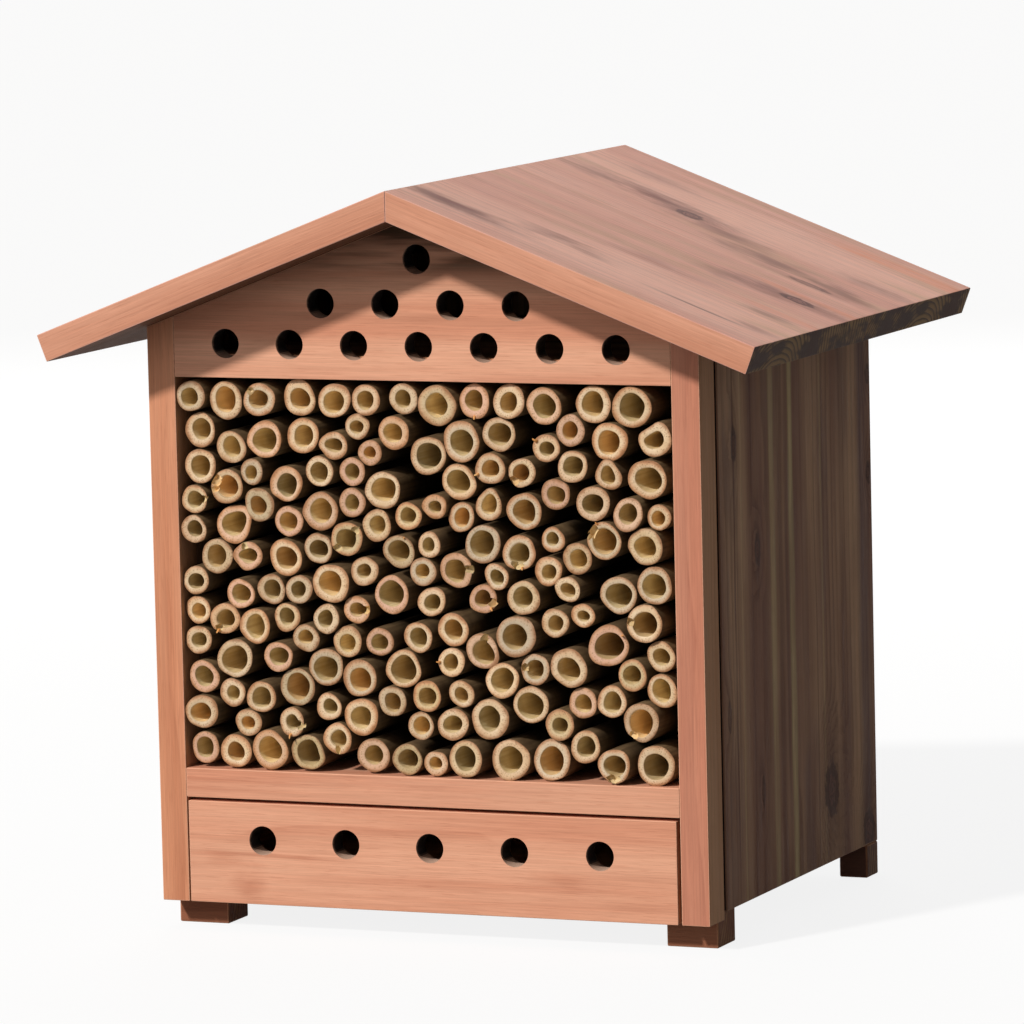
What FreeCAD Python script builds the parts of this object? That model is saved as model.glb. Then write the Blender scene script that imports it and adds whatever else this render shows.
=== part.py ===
import FreeCAD, Part
import math
import os
import Sketcher

# A bee hotel: a cedar case with a gabled roof, a bay of bamboo canes and a drawer under it.
# Millimetres. X runs to the right, Y from front to back, Z up from the ground.
# The origin is on the ground, under the middle of the roof.

doc = FreeCAD.newDocument("bee_hotel")

# Driving sizes. The pitch is in degrees, everything else in millimetres.
SIZES = {
    "case_width": 250,
    "case_depth": 205,
    "side_thickness": 12.5,
    "stile_width": 12.5,
    "stile_thickness": 17,
    "stile_drop": 3,
    "groove_width": 3,
    "groove_depth": 3,
    "gable_thickness": 10,
    "gable_height": 69,
    "gable_hole_bore": 12.5,
    "gable_hole_spacing": 29.5,
    "gable_low_row_rise": 14.5,
    "gable_middle_row_rise": 32,
    "gable_high_row_rise": 51,
    "roof_pitch": 21,
    "roof_thickness": 12,
    "roof_half_span": 161.5,
    "roof_overhang": 31,
    "roof_front_board_width": 140,
    "attic_floor_thickness": 9,
    "cane_bay_height": 167,
    "shelf_thickness": 12.5,
    "drawer_bay_height": 34,
    "base_thickness": 8,
    "back_thickness": 10,
    "foot_height": 14.5,
    "foot_width": 23,
    "foot_depth": 20,
    "foot_side_inset": 1.5,
    "foot_front_inset": 13,
    "back_foot_width": 13,
    "back_foot_depth": 14,
    "drawer_front_thickness": 10,
    "drawer_front_top_gap": 1.5,
    "drawer_front_left_gap": 0.6,
    "drawer_front_right_gap": 1.6,
    "drawer_front_base_gap": 2,
    "drawer_hole_bore": 12.5,
    "drawer_hole_spacing": 38.5,
    "drawer_hole_rise": 27.5,
    "drawer_side_gap": 1,
    "drawer_slide_gap": 0.3,
    "drawer_back_gap": 0.5,
    "drawer_board_thickness": 8,
    "drawer_bottom_thickness": 4,
    "drawer_box_height": 27.7,
    "screw_shank": 3.5,
    "screw_head": 7,
    "screw_head_depth": 2.4,
    "back_screw_length": 30,
    "back_screw_spread": 160,
    "foot_screw_length": 16,
    "foot_screw_recess": 2,
    "foot_screw_edge": 6,
    "brad_diameter": 1.4,
    "brad_length": 20,
    "brad_end_inset": 24,
    "fastener_gap": 0.1,
    "cane_gap": 0.3,
    "cane_recess": 1.5,
    "cane_recess_step": 0.6,
    "grade_a_outer": 11,
    "grade_a_bore": 5.8,
    "grade_b_outer": 12.3,
    "grade_b_bore": 6.8,
    "grade_c_outer": 13.5,
    "grade_c_bore": 8,
    "grade_d_outer": 14.9,
    "grade_d_bore": 9,
    "grade_e_outer": 16.2,
    "grade_e_bore": 10.4,
    "grade_f_outer": 17.5,
    "grade_f_bore": 11,
}

sheet = doc.addObject("Spreadsheet::Sheet", "sheet")
for line, (size_name, size) in enumerate(SIZES.items(), start=1):
    sheet.set(f"A{line}", size_name)
    sheet.set(f"B{line}", str(size))
    sheet.setAlias(f"B{line}", size_name)
doc.recompute()

sub_parts = {}


def value(expression):
    """The number that an expression on the sheet comes to."""
    return float(sheet.evalExpression(expression))


def keep(name, feature):
    """Gives a finished sub-part its label and puts it on the list to be written."""
    feature.Label = name
    sub_parts[name] = feature
    return feature


# Planes and levels, as expressions on the sheet

out_side = "(sheet.case_width / 2)"
in_side = f"({out_side} - sheet.side_thickness)"
in_stile = f"({out_side} - sheet.stile_width)"

front = "(-sheet.case_depth / 2)"
back = "(sheet.case_depth / 2)"
stile_back = f"({front} + sheet.stile_thickness)"
gable_back = f"({front} + sheet.gable_thickness)"
back_inside = f"({back} - sheet.back_thickness)"
roof_front = f"({front} - sheet.roof_overhang)"
roof_joint = f"({roof_front} + sheet.roof_front_board_width)"
roof_back = f"({back} + sheet.roof_overhang)"

base_under = "(sheet.foot_height)"
base_top = f"({base_under} + sheet.base_thickness)"
stile_under = f"({base_under} - sheet.stile_drop)"
shelf_under = f"({base_top} + sheet.drawer_bay_height)"
shelf_top = f"({shelf_under} + sheet.shelf_thickness)"
bay_top = f"({shelf_top} + sheet.cane_bay_height)"
attic_floor_top = f"({bay_top} + sheet.attic_floor_thickness)"
ridge_under = f"({bay_top} + sheet.gable_height)"
ridge_top = f"({ridge_under} + sheet.roof_thickness / cos(sheet.roof_pitch))"


def minus(expression):
    return f"(-{expression})"


def roof_under(x):
    """Height of the roof's underside at a distance x from the middle."""
    return f"({ridge_under} - {x} * tan(sheet.roof_pitch))"


# Ways to make a piece

def board(name, x_span, y_span, z_span):
    """A plain sawn board between two planes on each axis."""
    box = doc.addObject("Part::Box", name)
    spans = (("Length", "x", x_span), ("Width", "y", y_span), ("Height", "z", z_span))
    for side, axis, (low, high) in spans:
        box.setExpression(side, f"{high} - {low}")
        box.setExpression(f"Placement.Base.{axis}", low)
    return box


def front_sketch(body, name):
    """A sketch on the body's own X-Z plane, with its Y along Z."""
    sketch = body.newObject("Sketcher::SketchObject", name)
    plane = next(item for item in body.Origin.OriginFeatures if item.Role == "XZ_Plane")
    sketch.AttachmentSupport = [(plane, "")]
    sketch.MapMode = "FlatFace"
    return sketch


def pin_point(sketch, geometry, point, x, z, tag):
    """Holds a point of a sketch at two expressions, measured from the sketch's origin."""
    for kind, amount, axis in (("DistanceX", x, "x"), ("DistanceY", z, "z")):
        place = Sketcher.Constraint(kind, -1, 1, geometry, point, value(amount))
        number = sketch.addConstraint(place)
        sketch.renameConstraint(number, f"{axis}_{tag}")
        sketch.setExpression(f"Constraints.{axis}_{tag}", amount)


def cut_board(name, corners, y_span):
    """A board sawn to an outline in X and Z, as thick as its span in Y."""
    body = doc.addObject("PartDesign::Body", name)
    sketch = front_sketch(body, f"{name}_outline")
    points = [FreeCAD.Vector(value(x), value(z), 0) for x, z in corners]
    for number, point in enumerate(points):
        following = points[(number + 1) % len(points)]
        sketch.addGeometry(Part.LineSegment(point, following), False)
    for number in range(len(points)):
        following = (number + 1) % len(points)
        sketch.addConstraint(Sketcher.Constraint("Coincident", number, 2, following, 1))
    for number, (x, z) in enumerate(corners):
        pin_point(sketch, number, 1, x, z, f"corner_{number}")
    low, high = y_span
    pad = body.newObject("PartDesign::Pad", f"{name}_pad")
    pad.Profile = sketch
    pad.Reversed = True
    pad.setExpression("Length", f"{high} - {low}")
    body.setExpression("Placement.Base.y", low)
    return body


def drill(body, name, centres, bore):
    """Drills round holes right through a board that was sawn to an outline."""
    doc.recompute()
    solid_volume = body.Shape.Volume
    sketch = front_sketch(body, f"{name}_holes")
    up = FreeCAD.Vector(0, 0, 1)
    for number, (x, z) in enumerate(centres):
        middle = FreeCAD.Vector(value(x), value(z), 0)
        sketch.addGeometry(Part.Circle(middle, up, value(bore) / 2), False)
        pin_point(sketch, number, 3, x, z, f"hole_{number}")
        diameter = sketch.addConstraint(Sketcher.Constraint("Diameter", number, value(bore)))
        sketch.renameConstraint(diameter, f"bore_{number}")
        sketch.setExpression(f"Constraints.bore_{number}", bore)
    pocket = body.newObject("PartDesign::Pocket", f"{name}_drilling")
    pocket.Profile = sketch
    pocket.Type = "ThroughAll"
    pocket.Midplane = True
    doc.recompute()
    if body.Shape.Volume >= solid_volume:
        raise RuntimeError(f"the holes of {name} cut nothing")


def cut(name, base, tool):
    """What is left of one shape when another is taken out of it."""
    rest = doc.addObject("Part::Cut", name)
    rest.Base = base
    rest.Tool = tool
    return rest


def group(name, pieces):
    """Separate solids that share one label."""
    together = doc.addObject("Part::Compound", name)
    together.Links = pieces
    return together


def stand(feature, x, y, z, turn=None):
    """Puts a shape at three expressions, after an optional turn of its own Z axis."""
    if turn is not None:
        feature.Placement = FreeCAD.Placement(FreeCAD.Vector(0, 0, 0), turn)
    for axis, place in (("x", x), ("y", y), ("z", z)):
        feature.setExpression(f"Placement.Base.{axis}", place)


def rod(name, diameter, length, x, y, z, turn=None):
    """A round bar that starts at a point and runs along its turned Z axis."""
    bar = doc.addObject("Part::Cylinder", name)
    bar.setExpression("Radius", f"{diameter} / 2")
    bar.setExpression("Height", length)
    stand(bar, x, y, z, turn)
    return bar


to_back = FreeCAD.Rotation(FreeCAD.Vector(1, 0, 0), -90)
to_front = FreeCAD.Rotation(FreeCAD.Vector(1, 0, 0), 90)
to_right = FreeCAD.Rotation(FreeCAD.Vector(0, 1, 0), 90)
to_left = FreeCAD.Rotation(FreeCAD.Vector(0, 1, 0), -90)


def screw(name, length, place, turn, gap="0"):
    """A countersunk screw from the face of its head. With a gap it is the hole for one."""
    head = doc.addObject("Part::Cone", f"{name}_head")
    head.setExpression("Radius1", f"sheet.screw_head / 2 + {gap}")
    head.setExpression("Radius2", f"sheet.screw_shank / 2 + {gap}")
    head.setExpression("Height", "sheet.screw_head_depth")
    stand(head, *place, turn)
    shank = rod(f"{name}_shank", f"(sheet.screw_shank + 2 * {gap})", f"{length} + {gap}", *place, turn)
    whole = doc.addObject("Part::Fuse", name)
    whole.Base = head
    whole.Tool = shank
    return whole


# Screws through the back panel into the base, the shelf and the attic floor

back_screws = []
back_screw_holes = []
carrying_boards = {
    "base": f"({base_under} + sheet.base_thickness / 2)",
    "shelf": f"({shelf_under} + sheet.shelf_thickness / 2)",
    "attic": f"({bay_top} + sheet.attic_floor_thickness / 2)",
}
for carrier, height in carrying_boards.items():
    for hand, sign in (("left", "-"), ("right", "")):
        place = (f"{sign}sheet.back_screw_spread / 2", back, height)
        label = f"{carrier}_{hand}_screw"
        back_screws.append(screw(label, "sheet.back_screw_length", place, to_front))
        hole = screw(f"{label}_hole", "sheet.back_screw_length", place, to_front, "sheet.fastener_gap")
        back_screw_holes.append(hole)
keep("back_panel_screws", group("back_panel_screws", back_screws))
back_screw_cutters = group("back_screw_cutters", back_screw_holes)

# Feet: four blocks, each held by a screw from below. The front ones are notched round the stiles.
# The back ones are smaller, and stand under the side panels, flush with them.

foot_out = f"({out_side} - sheet.foot_side_inset)"
foot_in = f"({foot_out} - sheet.foot_width)"
back_foot_in = f"({out_side} - sheet.back_foot_width)"
front_foot = f"({front} + sheet.foot_front_inset)"
foot_x_spans = {"front": (foot_in, foot_out), "back": (back_foot_in, out_side)}
foot_y_spans = {
    "front": (front_foot, f"({front_foot} + sheet.foot_depth)"),
    "back": (f"({back} - sheet.back_foot_depth)", back),
}
foot_screw_places = {
    "front": f"({foot_in} + sheet.foot_screw_edge)",
    "back": f"({out_side} - sheet.back_foot_width / 2)",
}
foot_screws = []
foot_screw_holes = []
feet = {}
for end, y_span in foot_y_spans.items():
    for hand in ("left", "right"):
        label = f"{end}_{hand}_foot"
        inner, outer = foot_x_spans[end]
        x_span = (inner, outer) if hand == "right" else (minus(outer), minus(inner))
        block = board(f"{label}_block", x_span, y_span, ("0", base_under))
        if end == "front":
            stile_x_span = (in_stile, out_side) if hand == "right" else (minus(out_side), minus(in_stile))
            notch = board(f"{label}_notch", stile_x_span, (front, stile_back), (stile_under, base_under))
            block = cut(f"{label}_notched", block, notch)
        feet[label] = block
        screw_x = foot_screw_places[end] if hand == "right" else minus(foot_screw_places[end])
        screw_y = f"(({y_span[0]} + {y_span[1]}) / 2)"
        place = (screw_x, screw_y, "sheet.foot_screw_recess")
        upright = FreeCAD.Rotation()
        foot_screws.append(screw(f"{label}_screw", "sheet.foot_screw_length", place, upright))
        hole = screw(f"{label}_hole", "sheet.foot_screw_length", place, upright, "sheet.fastener_gap")
        well = rod(f"{label}_well", "(sheet.screw_head + 2 * sheet.fastener_gap)",
                   "sheet.foot_screw_recess", screw_x, screw_y, "0", upright)
        foot_screw_holes.extend([hole, well])
keep("foot_screws", group("foot_screws", foot_screws))
foot_screw_cutters = group("foot_screw_cutters", foot_screw_holes)
for label, block in feet.items():
    keep(label, cut(label, block, foot_screw_cutters))

# Base board: it carries the drawer, and starts behind the drawer's front

base_front = f"({front} + sheet.drawer_front_thickness + sheet.drawer_front_base_gap)"
across = (minus(in_side), in_side)
base_blank = board("base_blank", across, (base_front, back_inside), (base_under, base_top))
base_screwed = cut("base_screwed", base_blank, back_screw_cutters)
keep("base_board", cut("base_board", base_screwed, foot_screw_cutters))

# Side panels: tops bevelled to the roof, and a shadow groove along the stile

for hand, sign in (("left", minus), ("right", str)):
    panel = cut_board(
        f"{hand}_side_blank",
        [
            (sign(in_side), base_under),
            (sign(out_side), base_under),
            (sign(out_side), roof_under(out_side)),
            (sign(in_side), roof_under(in_side)),
        ],
        (stile_back, back),
    )
    groove_in = f"({out_side} - sheet.groove_depth)"
    groove_x = (groove_in, out_side) if hand == "right" else (minus(out_side), minus(groove_in))
    groove_y = (stile_back, f"({stile_back} + sheet.groove_width)")
    groove = board(f"{hand}_groove", groove_x, groove_y, (base_under, ridge_top))
    grooved = cut(f"{hand}_side_grooved", panel, groove)
    keep(f"{hand}_side_panel", cut(f"{hand}_side_panel", grooved, foot_screw_cutters))

# Back panel: it fills the end of the case between the side panels

back_blank = cut_board(
    "back_blank",
    [
        (minus(in_side), base_under),
        (in_side, base_under),
        (in_side, roof_under(in_side)),
        ("0", ridge_under),
        (minus(in_side), roof_under(in_side)),
    ],
    (back_inside, back),
)
keep("back_panel", cut("back_panel", back_blank, back_screw_cutters))

# Shelf under the canes: its front edge is the rail that shows between the stiles

shelf_blank = board("shelf_blank", across, (stile_back, back_inside), (shelf_under, shelf_top))
shelf_rail = board("shelf_rail", (minus(in_stile), in_stile), (front, stile_back), (shelf_under, shelf_top))
shelf_whole = doc.addObject("Part::Fuse", "shelf_whole")
shelf_whole.Base = shelf_blank
shelf_whole.Tool = shelf_rail
shelf_whole.Refine = True
keep("cane_shelf", cut("cane_shelf", shelf_whole, back_screw_cutters))

# Attic floor: it closes the cane bay behind the gable

attic_side = f"min({in_side}; {in_stile})"
attic_across = (minus(attic_side), attic_side)
attic_blank = board("attic_blank", attic_across, (gable_back, back_inside), (bay_top, attic_floor_top))
keep("attic_floor", cut("attic_floor", attic_blank, back_screw_cutters))

# Stiles: they hang a little below the side panels, reach into the front feet, and end under the roof

for hand, sign in (("left", minus), ("right", str)):
    stile = cut_board(
        f"{hand}_stile",
        [
            (sign(in_stile), stile_under),
            (sign(out_side), stile_under),
            (sign(out_side), roof_under(out_side)),
            (sign(in_stile), roof_under(in_stile)),
        ],
        (front, stile_back),
    )
    keep(f"{hand}_stile", stile)

# Gable front with its three rows of entry holes

gable = cut_board(
    "gable_front",
    [
        (minus(in_stile), bay_top),
        (in_stile, bay_top),
        (in_stile, roof_under(in_stile)),
        ("0", ridge_under),
        (minus(in_stile), roof_under(in_stile)),
    ],
    (front, gable_back),
)
LOW_ROW_HOLES = 7
MIDDLE_ROW_HOLES = 4
HIGH_ROW_HOLES = 1
hole_counts = (("low", LOW_ROW_HOLES), ("middle", MIDDLE_ROW_HOLES), ("high", HIGH_ROW_HOLES))
gable_holes = []
for row, count in hole_counts:
    for number in range(count):
        steps_from_middle = number - (count - 1) / 2
        hole_x = f"({steps_from_middle} * sheet.gable_hole_spacing)"
        gable_holes.append((hole_x, f"({bay_top} + sheet.gable_{row}_row_rise)"))
drill(gable, "gable", gable_holes, "sheet.gable_hole_bore")
keep("gable_front", gable)

# Roof: each slope is a front and a back board, glued edge to edge and mitred at the ridge

eave_top = f"({ridge_top} - sheet.roof_half_span * tan(sheet.roof_pitch))"
eave_in = "(sheet.roof_half_span - sheet.roof_thickness * sin(sheet.roof_pitch))"
eave_under = f"({eave_top} - sheet.roof_thickness * cos(sheet.roof_pitch))"
roof_y_spans = {"front": (roof_front, roof_joint), "back": (roof_joint, roof_back)}
for hand, sign in (("left", minus), ("right", str)):
    for end, y_span in roof_y_spans.items():
        slope = cut_board(
            f"{hand}_{end}_roof_board",
            [
                ("0", ridge_under),
                (sign(eave_in), eave_under),
                (sign("sheet.roof_half_span"), eave_top),
                ("0", ridge_top),
            ],
            y_span,
        )
        keep(f"{hand}_{end}_roof_board", slope)

# Drawer front with its row of entry holes

drawer_left = f"(-{in_stile} + sheet.drawer_front_left_gap)"
drawer_right = f"({in_stile} - sheet.drawer_front_right_gap)"
drawer_top = f"({shelf_under} - sheet.drawer_front_top_gap)"
drawer_front_back = f"({front} + sheet.drawer_front_thickness)"
drawer_front = cut_board(
    "drawer_front",
    [
        (drawer_left, stile_under),
        (drawer_right, stile_under),
        (drawer_right, drawer_top),
        (drawer_left, drawer_top),
    ],
    (front, drawer_front_back),
)
DRAWER_HOLES = 5
drawer_middle = f"(({drawer_left} + {drawer_right}) / 2)"
drawer_holes = []
for number in range(DRAWER_HOLES):
    steps_from_middle = number - (DRAWER_HOLES - 1) / 2
    hole_x = f"({drawer_middle} + {steps_from_middle} * sheet.drawer_hole_spacing)"
    drawer_holes.append((hole_x, f"({stile_under} + sheet.drawer_hole_rise)"))
drill(drawer_front, "drawer", drawer_holes, "sheet.drawer_hole_bore")
keep("drawer_front", drawer_front)

# Drawer box: two sides and a back around a thin bottom, nailed at the corners with brads

box_out = f"(min({in_side}; {in_stile}) - sheet.drawer_side_gap)"
box_in = f"({box_out} - sheet.drawer_board_thickness)"
box_under = f"({base_top} + sheet.drawer_slide_gap)"
box_top = f"({box_under} + sheet.drawer_box_height)"
box_back = f"({back_inside} - sheet.drawer_back_gap)"
box_back_inside = f"({box_back} - sheet.drawer_board_thickness)"
bottom_top = f"({box_under} + sheet.drawer_bottom_thickness)"

brads = []
brad_holes = []
brad_places = {
    "back_low": (f"({box_back_inside} + sheet.drawer_board_thickness / 2)",
                 f"({box_under} + sheet.drawer_box_height / 4)"),
    "back_high": (f"({box_back_inside} + sheet.drawer_board_thickness / 2)",
                  f"({box_under} + sheet.drawer_box_height * 3 / 4)"),
    "bottom_front": (f"({drawer_front_back} + sheet.brad_end_inset)",
                     f"({box_under} + sheet.drawer_bottom_thickness / 2)"),
    "bottom_back": (f"({box_back_inside} - sheet.brad_end_inset)",
                    f"({box_under} + sheet.drawer_bottom_thickness / 2)"),
}
for hand, sign, turn in (("left", minus, to_right), ("right", str, to_left)):
    for corner, (brad_y, brad_z) in brad_places.items():
        label = f"{hand}_{corner}_brad"
        place = (sign(box_out), brad_y, brad_z)
        brads.append(rod(label, "sheet.brad_diameter", "sheet.brad_length", *place, turn))
        hole_bore = "(sheet.brad_diameter + 2 * sheet.fastener_gap)"
        hole_length = "sheet.brad_length + sheet.fastener_gap"
        brad_holes.append(rod(f"{label}_hole", hole_bore, hole_length, *place, turn))
keep("drawer_brads", group("drawer_brads", brads))
brad_cutters = group("brad_cutters", brad_holes)

drawer_boards = {
    "left_drawer_side": ((minus(box_out), minus(box_in)), (drawer_front_back, box_back), (box_under, box_top)),
    "right_drawer_side": ((box_in, box_out), (drawer_front_back, box_back), (box_under, box_top)),
    "drawer_back": ((minus(box_in), box_in), (box_back_inside, box_back), (box_under, box_top)),
    "drawer_bottom": ((minus(box_in), box_in), (drawer_front_back, box_back_inside), (box_under, bottom_top)),
}
for label, spans in drawer_boards.items():
    keep(label, cut(label, board(f"{label}_blank", *spans), brad_cutters))

# Bamboo canes. Each is a grade letter and the place of its end as read by eye in the photograph:
# pixels across and down. The grades' diameters are on the sheet.

CANES_SEEN = [
    "c192,395 e231,400 d266,399 e305,399 d342,399 c374,399 c412,398 f446,404 d480,401 d516,400 "
    "e553,405 e600,403 f640,404",
    "d204,430 d237,446 e272,439 d309,434 b342,444 a363,426 d401,432 a378,452 e436,454 f469,440 "
    "d504,432 c577,427 b554,446 e614,438 d658,433",
    "d203,466 d232,486 a258,471 d292,483 c327,470 b358,471 e390,490 c499,467 b528,471 c579,465 "
    "e465,481 b614,474 f653,477",
    "b196,499 d264,504 e238,524 c295,520 e329,510 b358,501 b416,514 c383,524 c562,492 a443,505 "
    "b468,516 b496,505 e530,510 d600,502 c634,512 a663,515",
    "b197,528 d220,555 b254,554 e293,556 c325,547 d354,537 d404,551 b371,570 a438,543 e488,545 "
    "a561,538 d525,551 e608,537 e651,546 c581,556 b431,569 e464,568 b502,574 b556,568",
    "b198,579 c246,593 c275,589 b305,588 f339,583 e398,594 b439,600 b488,598 d530,597 a576,587 "
    "e623,594 e658,584",
    "b201,609 c229,617 d260,626 b292,616 b333,618 b361,608 d460,628 b562,620 a587,614 e650,621",
    "b201,639 e239,658 b313,637 c353,641 b387,640 c422,639 d488,649 f524,635 f614,646 b458,661 c662,655",
    "d207,676 c286,657 e331,666 e367,676 e409,668 c540,667 f575,667 c635,675 d509,679 d662,688",
    "b236,692 c267,696 e301,686 d204,711 c395,700 c433,695 b469,692 e538,704 c614,700 c585,706",
    "b253,722 b299,719 b334,706 e367,717 b426,725 f495,718 e645,717 c458,724 c565,726",
    "c209,747 d241,750 f276,750 e313,753 c342,738 d378,755 c413,759 e472,759 a441,764 f517,759 "
    "f557,762 c589,746 d618,767 f658,764",
]

# The bay's opening at the canes' ends, in the same pixels: top left, top right, low left, low right
BAY_SEEN = "181,376 677,384 190,767 682,786"


def pixels(word):
    return [float(pixel) for pixel in word.split(",")]


def between(low, high, share):
    return low + (high - low) * share


def bay_share(across_pixel, down_pixel):
    """Where a pixel lies in the bay's opening, as shares of its width and height."""
    top_left, top_right, low_left, low_right = (pixels(word) for word in BAY_SEEN.split())
    share_x = share_z = 0.5
    for _ in range(4):
        left = between(low_left[0], top_left[0], share_z)
        right = between(low_right[0], top_right[0], share_z)
        share_x = (across_pixel - left) / (right - left)
        top = between(top_left[1], top_right[1], share_x)
        low = between(low_left[1], low_right[1], share_x)
        share_z = (low - down_pixel) / (low - top)
    return share_x, share_z


def settle(canes, half_width, low, high, gap):
    """Pushes the canes apart, and in from the walls, until none are closer than the gap."""
    rounds = 3000
    near_enough = 1e-5
    reach = 4 * max(cane["radius"] for cane in canes)
    pairs = []
    for number, cane in enumerate(canes):
        for other in canes[number + 1:]:
            if math.hypot(cane["x"] - other["x"], cane["z"] - other["z"]) < reach:
                pairs.append((cane, other))
    for _ in range(rounds):
        worst = 0
        for cane, other in pairs:
            step_x = other["x"] - cane["x"]
            step_z = other["z"] - cane["z"]
            distance = math.hypot(step_x, step_z) or near_enough
            short = cane["radius"] + other["radius"] + gap - distance
            if short > 0:
                worst = max(worst, short)
                push_x = step_x / distance * short / 2
                push_z = step_z / distance * short / 2
                cane["x"] -= push_x
                cane["z"] -= push_z
                other["x"] += push_x
                other["z"] += push_z
        for cane in canes:
            room = cane["radius"] + gap
            cane["x"] = min(max(cane["x"], -half_width + room), half_width - room)
            cane["z"] = min(max(cane["z"], low + room), high - room)
        if worst < near_enough:
            break
    return worst


cane_gap = value("sheet.cane_gap")
cane_half_width = min(value(in_side), value(in_stile))
bay_low = value(shelf_top)
bay_high = value(bay_top)
canes = []
for row, words in enumerate(CANES_SEEN, start=1):
    for word in words.split():
        grade = word[0]
        share_x, share_z = bay_share(*pixels(word[1:]))
        canes.append({
            "row": row,
            "grade": grade,
            "radius": value(f"sheet.grade_{grade}_outer / 2"),
            "x": between(-cane_half_width, cane_half_width, share_x),
            "z": between(bay_low, bay_high, share_z),
        })
# A cane that finds no room in a smaller bay is left out, the ones near the top first
crowding_allowed = cane_gap / 3
while settle(canes, cane_half_width, bay_low, bay_high, cane_gap) > crowding_allowed:
    highest = max(canes, key=lambda cane: cane["z"])
    canes.remove(highest)
print(f"{len(canes)} canes")

# Canes are cut to about one length: the back ends meet the back panel, the front ends vary
RECESS_STEPS = (0, 3, 1, 4, 2)
rows = {}
for number, cane in enumerate(canes):
    label = f"cane_{number + 1}"
    step = RECESS_STEPS[number % len(RECESS_STEPS)]
    cane_front = f"({front} + sheet.cane_recess + {step} * sheet.cane_recess_step)"
    place = (str(cane["x"]), cane_front, str(cane["z"]))
    length = f"{back_inside} - {cane_front}"
    outer = rod(f"{label}_wall", f"sheet.grade_{cane['grade']}_outer", length, *place, to_back)
    bore = rod(f"{label}_bore", f"sheet.grade_{cane['grade']}_bore", length, *place, to_back)
    rows.setdefault(cane["row"], []).append(cut(label, outer, bore))
for row, tubes in rows.items():
    keep(f"cane_row_{row:02d}", group(f"cane_row_{row:02d}", tubes))

# Check every object, then write the sub-parts

doc.recompute()
for item in doc.Objects:
    if "Invalid" in item.State or "Error" in item.State:
        raise RuntimeError(f"{item.Label} failed: {item.State}")
for name, feature in sub_parts.items():
    if feature.Shape.isNull() or not feature.Shape.isValid():
        raise RuntimeError(f"{name} has no valid shape")
os.makedirs("parts", exist_ok=True)
for name, feature in sub_parts.items():
    feature.Shape.exportStep(os.path.join("parts", f"{name}.step"))
print(f"{len(sub_parts)} sub-parts")
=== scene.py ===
import math
import random

import bpy
import numpy as np
from mathutils import Euler, Matrix, Vector


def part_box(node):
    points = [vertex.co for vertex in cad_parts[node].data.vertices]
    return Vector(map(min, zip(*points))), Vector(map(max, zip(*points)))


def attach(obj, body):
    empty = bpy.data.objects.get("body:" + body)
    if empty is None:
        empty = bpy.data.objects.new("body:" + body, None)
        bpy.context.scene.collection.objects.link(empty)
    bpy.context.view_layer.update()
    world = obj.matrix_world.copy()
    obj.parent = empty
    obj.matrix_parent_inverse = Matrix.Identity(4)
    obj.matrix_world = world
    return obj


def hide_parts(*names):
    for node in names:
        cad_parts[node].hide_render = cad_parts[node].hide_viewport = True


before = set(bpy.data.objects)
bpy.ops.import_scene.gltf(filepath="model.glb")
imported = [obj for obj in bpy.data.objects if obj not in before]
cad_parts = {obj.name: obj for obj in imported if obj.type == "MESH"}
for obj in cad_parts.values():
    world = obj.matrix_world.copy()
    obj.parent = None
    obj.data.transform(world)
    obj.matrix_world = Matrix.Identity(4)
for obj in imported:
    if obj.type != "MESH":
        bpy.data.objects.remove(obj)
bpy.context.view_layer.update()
MM = 0.001


# Base board
# A cedar board that lies between the side panels under the drawer, sawn to size and left unpainted.
# Screws come up into it through the front feet, and the drawer slides on its top.

def on_screen(red, green, blue):
    """A colour as it looks on a screen, 0 to 255, in the linear values that shaders use."""
    linear = []
    for level in (red, green, blue):
        share = level / 255
        linear.append(share / 12.92 if share < 0.04045 else ((share + 0.055) / 1.055) ** 2.4)
    return (*linear, 1.0)


def add_node(tree, kind, sockets, **settings):
    """Adds a shader node, sets its options, and fills its sockets with values or links."""
    made = tree.nodes.new(f"ShaderNode{kind}")
    for setting, choice in settings.items():
        setattr(made, setting, choice)
    for socket, filling in sockets.items():
        if isinstance(filling, bpy.types.NodeSocket):
            tree.links.new(filling, made.inputs[socket])
        else:
            made.inputs[socket].default_value = filling
    return made


def figure(tree, operation, *values):
    """One step of arithmetic on numbers."""
    return add_node(tree, "Math", dict(enumerate(values)), operation=operation).outputs[0]


def vector_figure(tree, operation, *values):
    """One step of arithmetic on vectors."""
    return add_node(tree, "VectorMath", dict(enumerate(values)), operation=operation).outputs


def blend_colours(tree, share, first, second, how="MIX"):
    sockets = {0: share, 6: first, 7: second}
    return add_node(tree, "Mix", sockets, data_type="RGBA", blend_type=how).outputs[2]


def rise(tree, value, start, end, low=0.0, high=1.0):
    """A soft step from low to high while the value goes from start to end."""
    sockets = {"Value": value, "From Min": start, "From Max": end, "To Min": low, "To Max": high}
    return add_node(tree, "MapRange", sockets, interpolation_type="SMOOTHSTEP").outputs["Result"]


def cloud(tree, place, stretch, detail=2.0):
    """Soft noise from 0 to 1, at so many lumps per metre along each axis."""
    stretched = vector_figure(tree, "MULTIPLY", place, stretch)[0]
    return add_node(tree, "TexNoise", {"Vector": stretched, "Scale": 1.0, "Detail": detail}).outputs[0]


def new_material(name):
    material = bpy.data.materials.new(name)
    material.use_nodes = True
    return material, material.node_tree


def relief(tree, height, strength, depth):
    """Fine bumps from a height."""
    return add_node(tree, "Bump", {"Height": height, "Strength": strength, "Distance": depth}).outputs[0]


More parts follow.
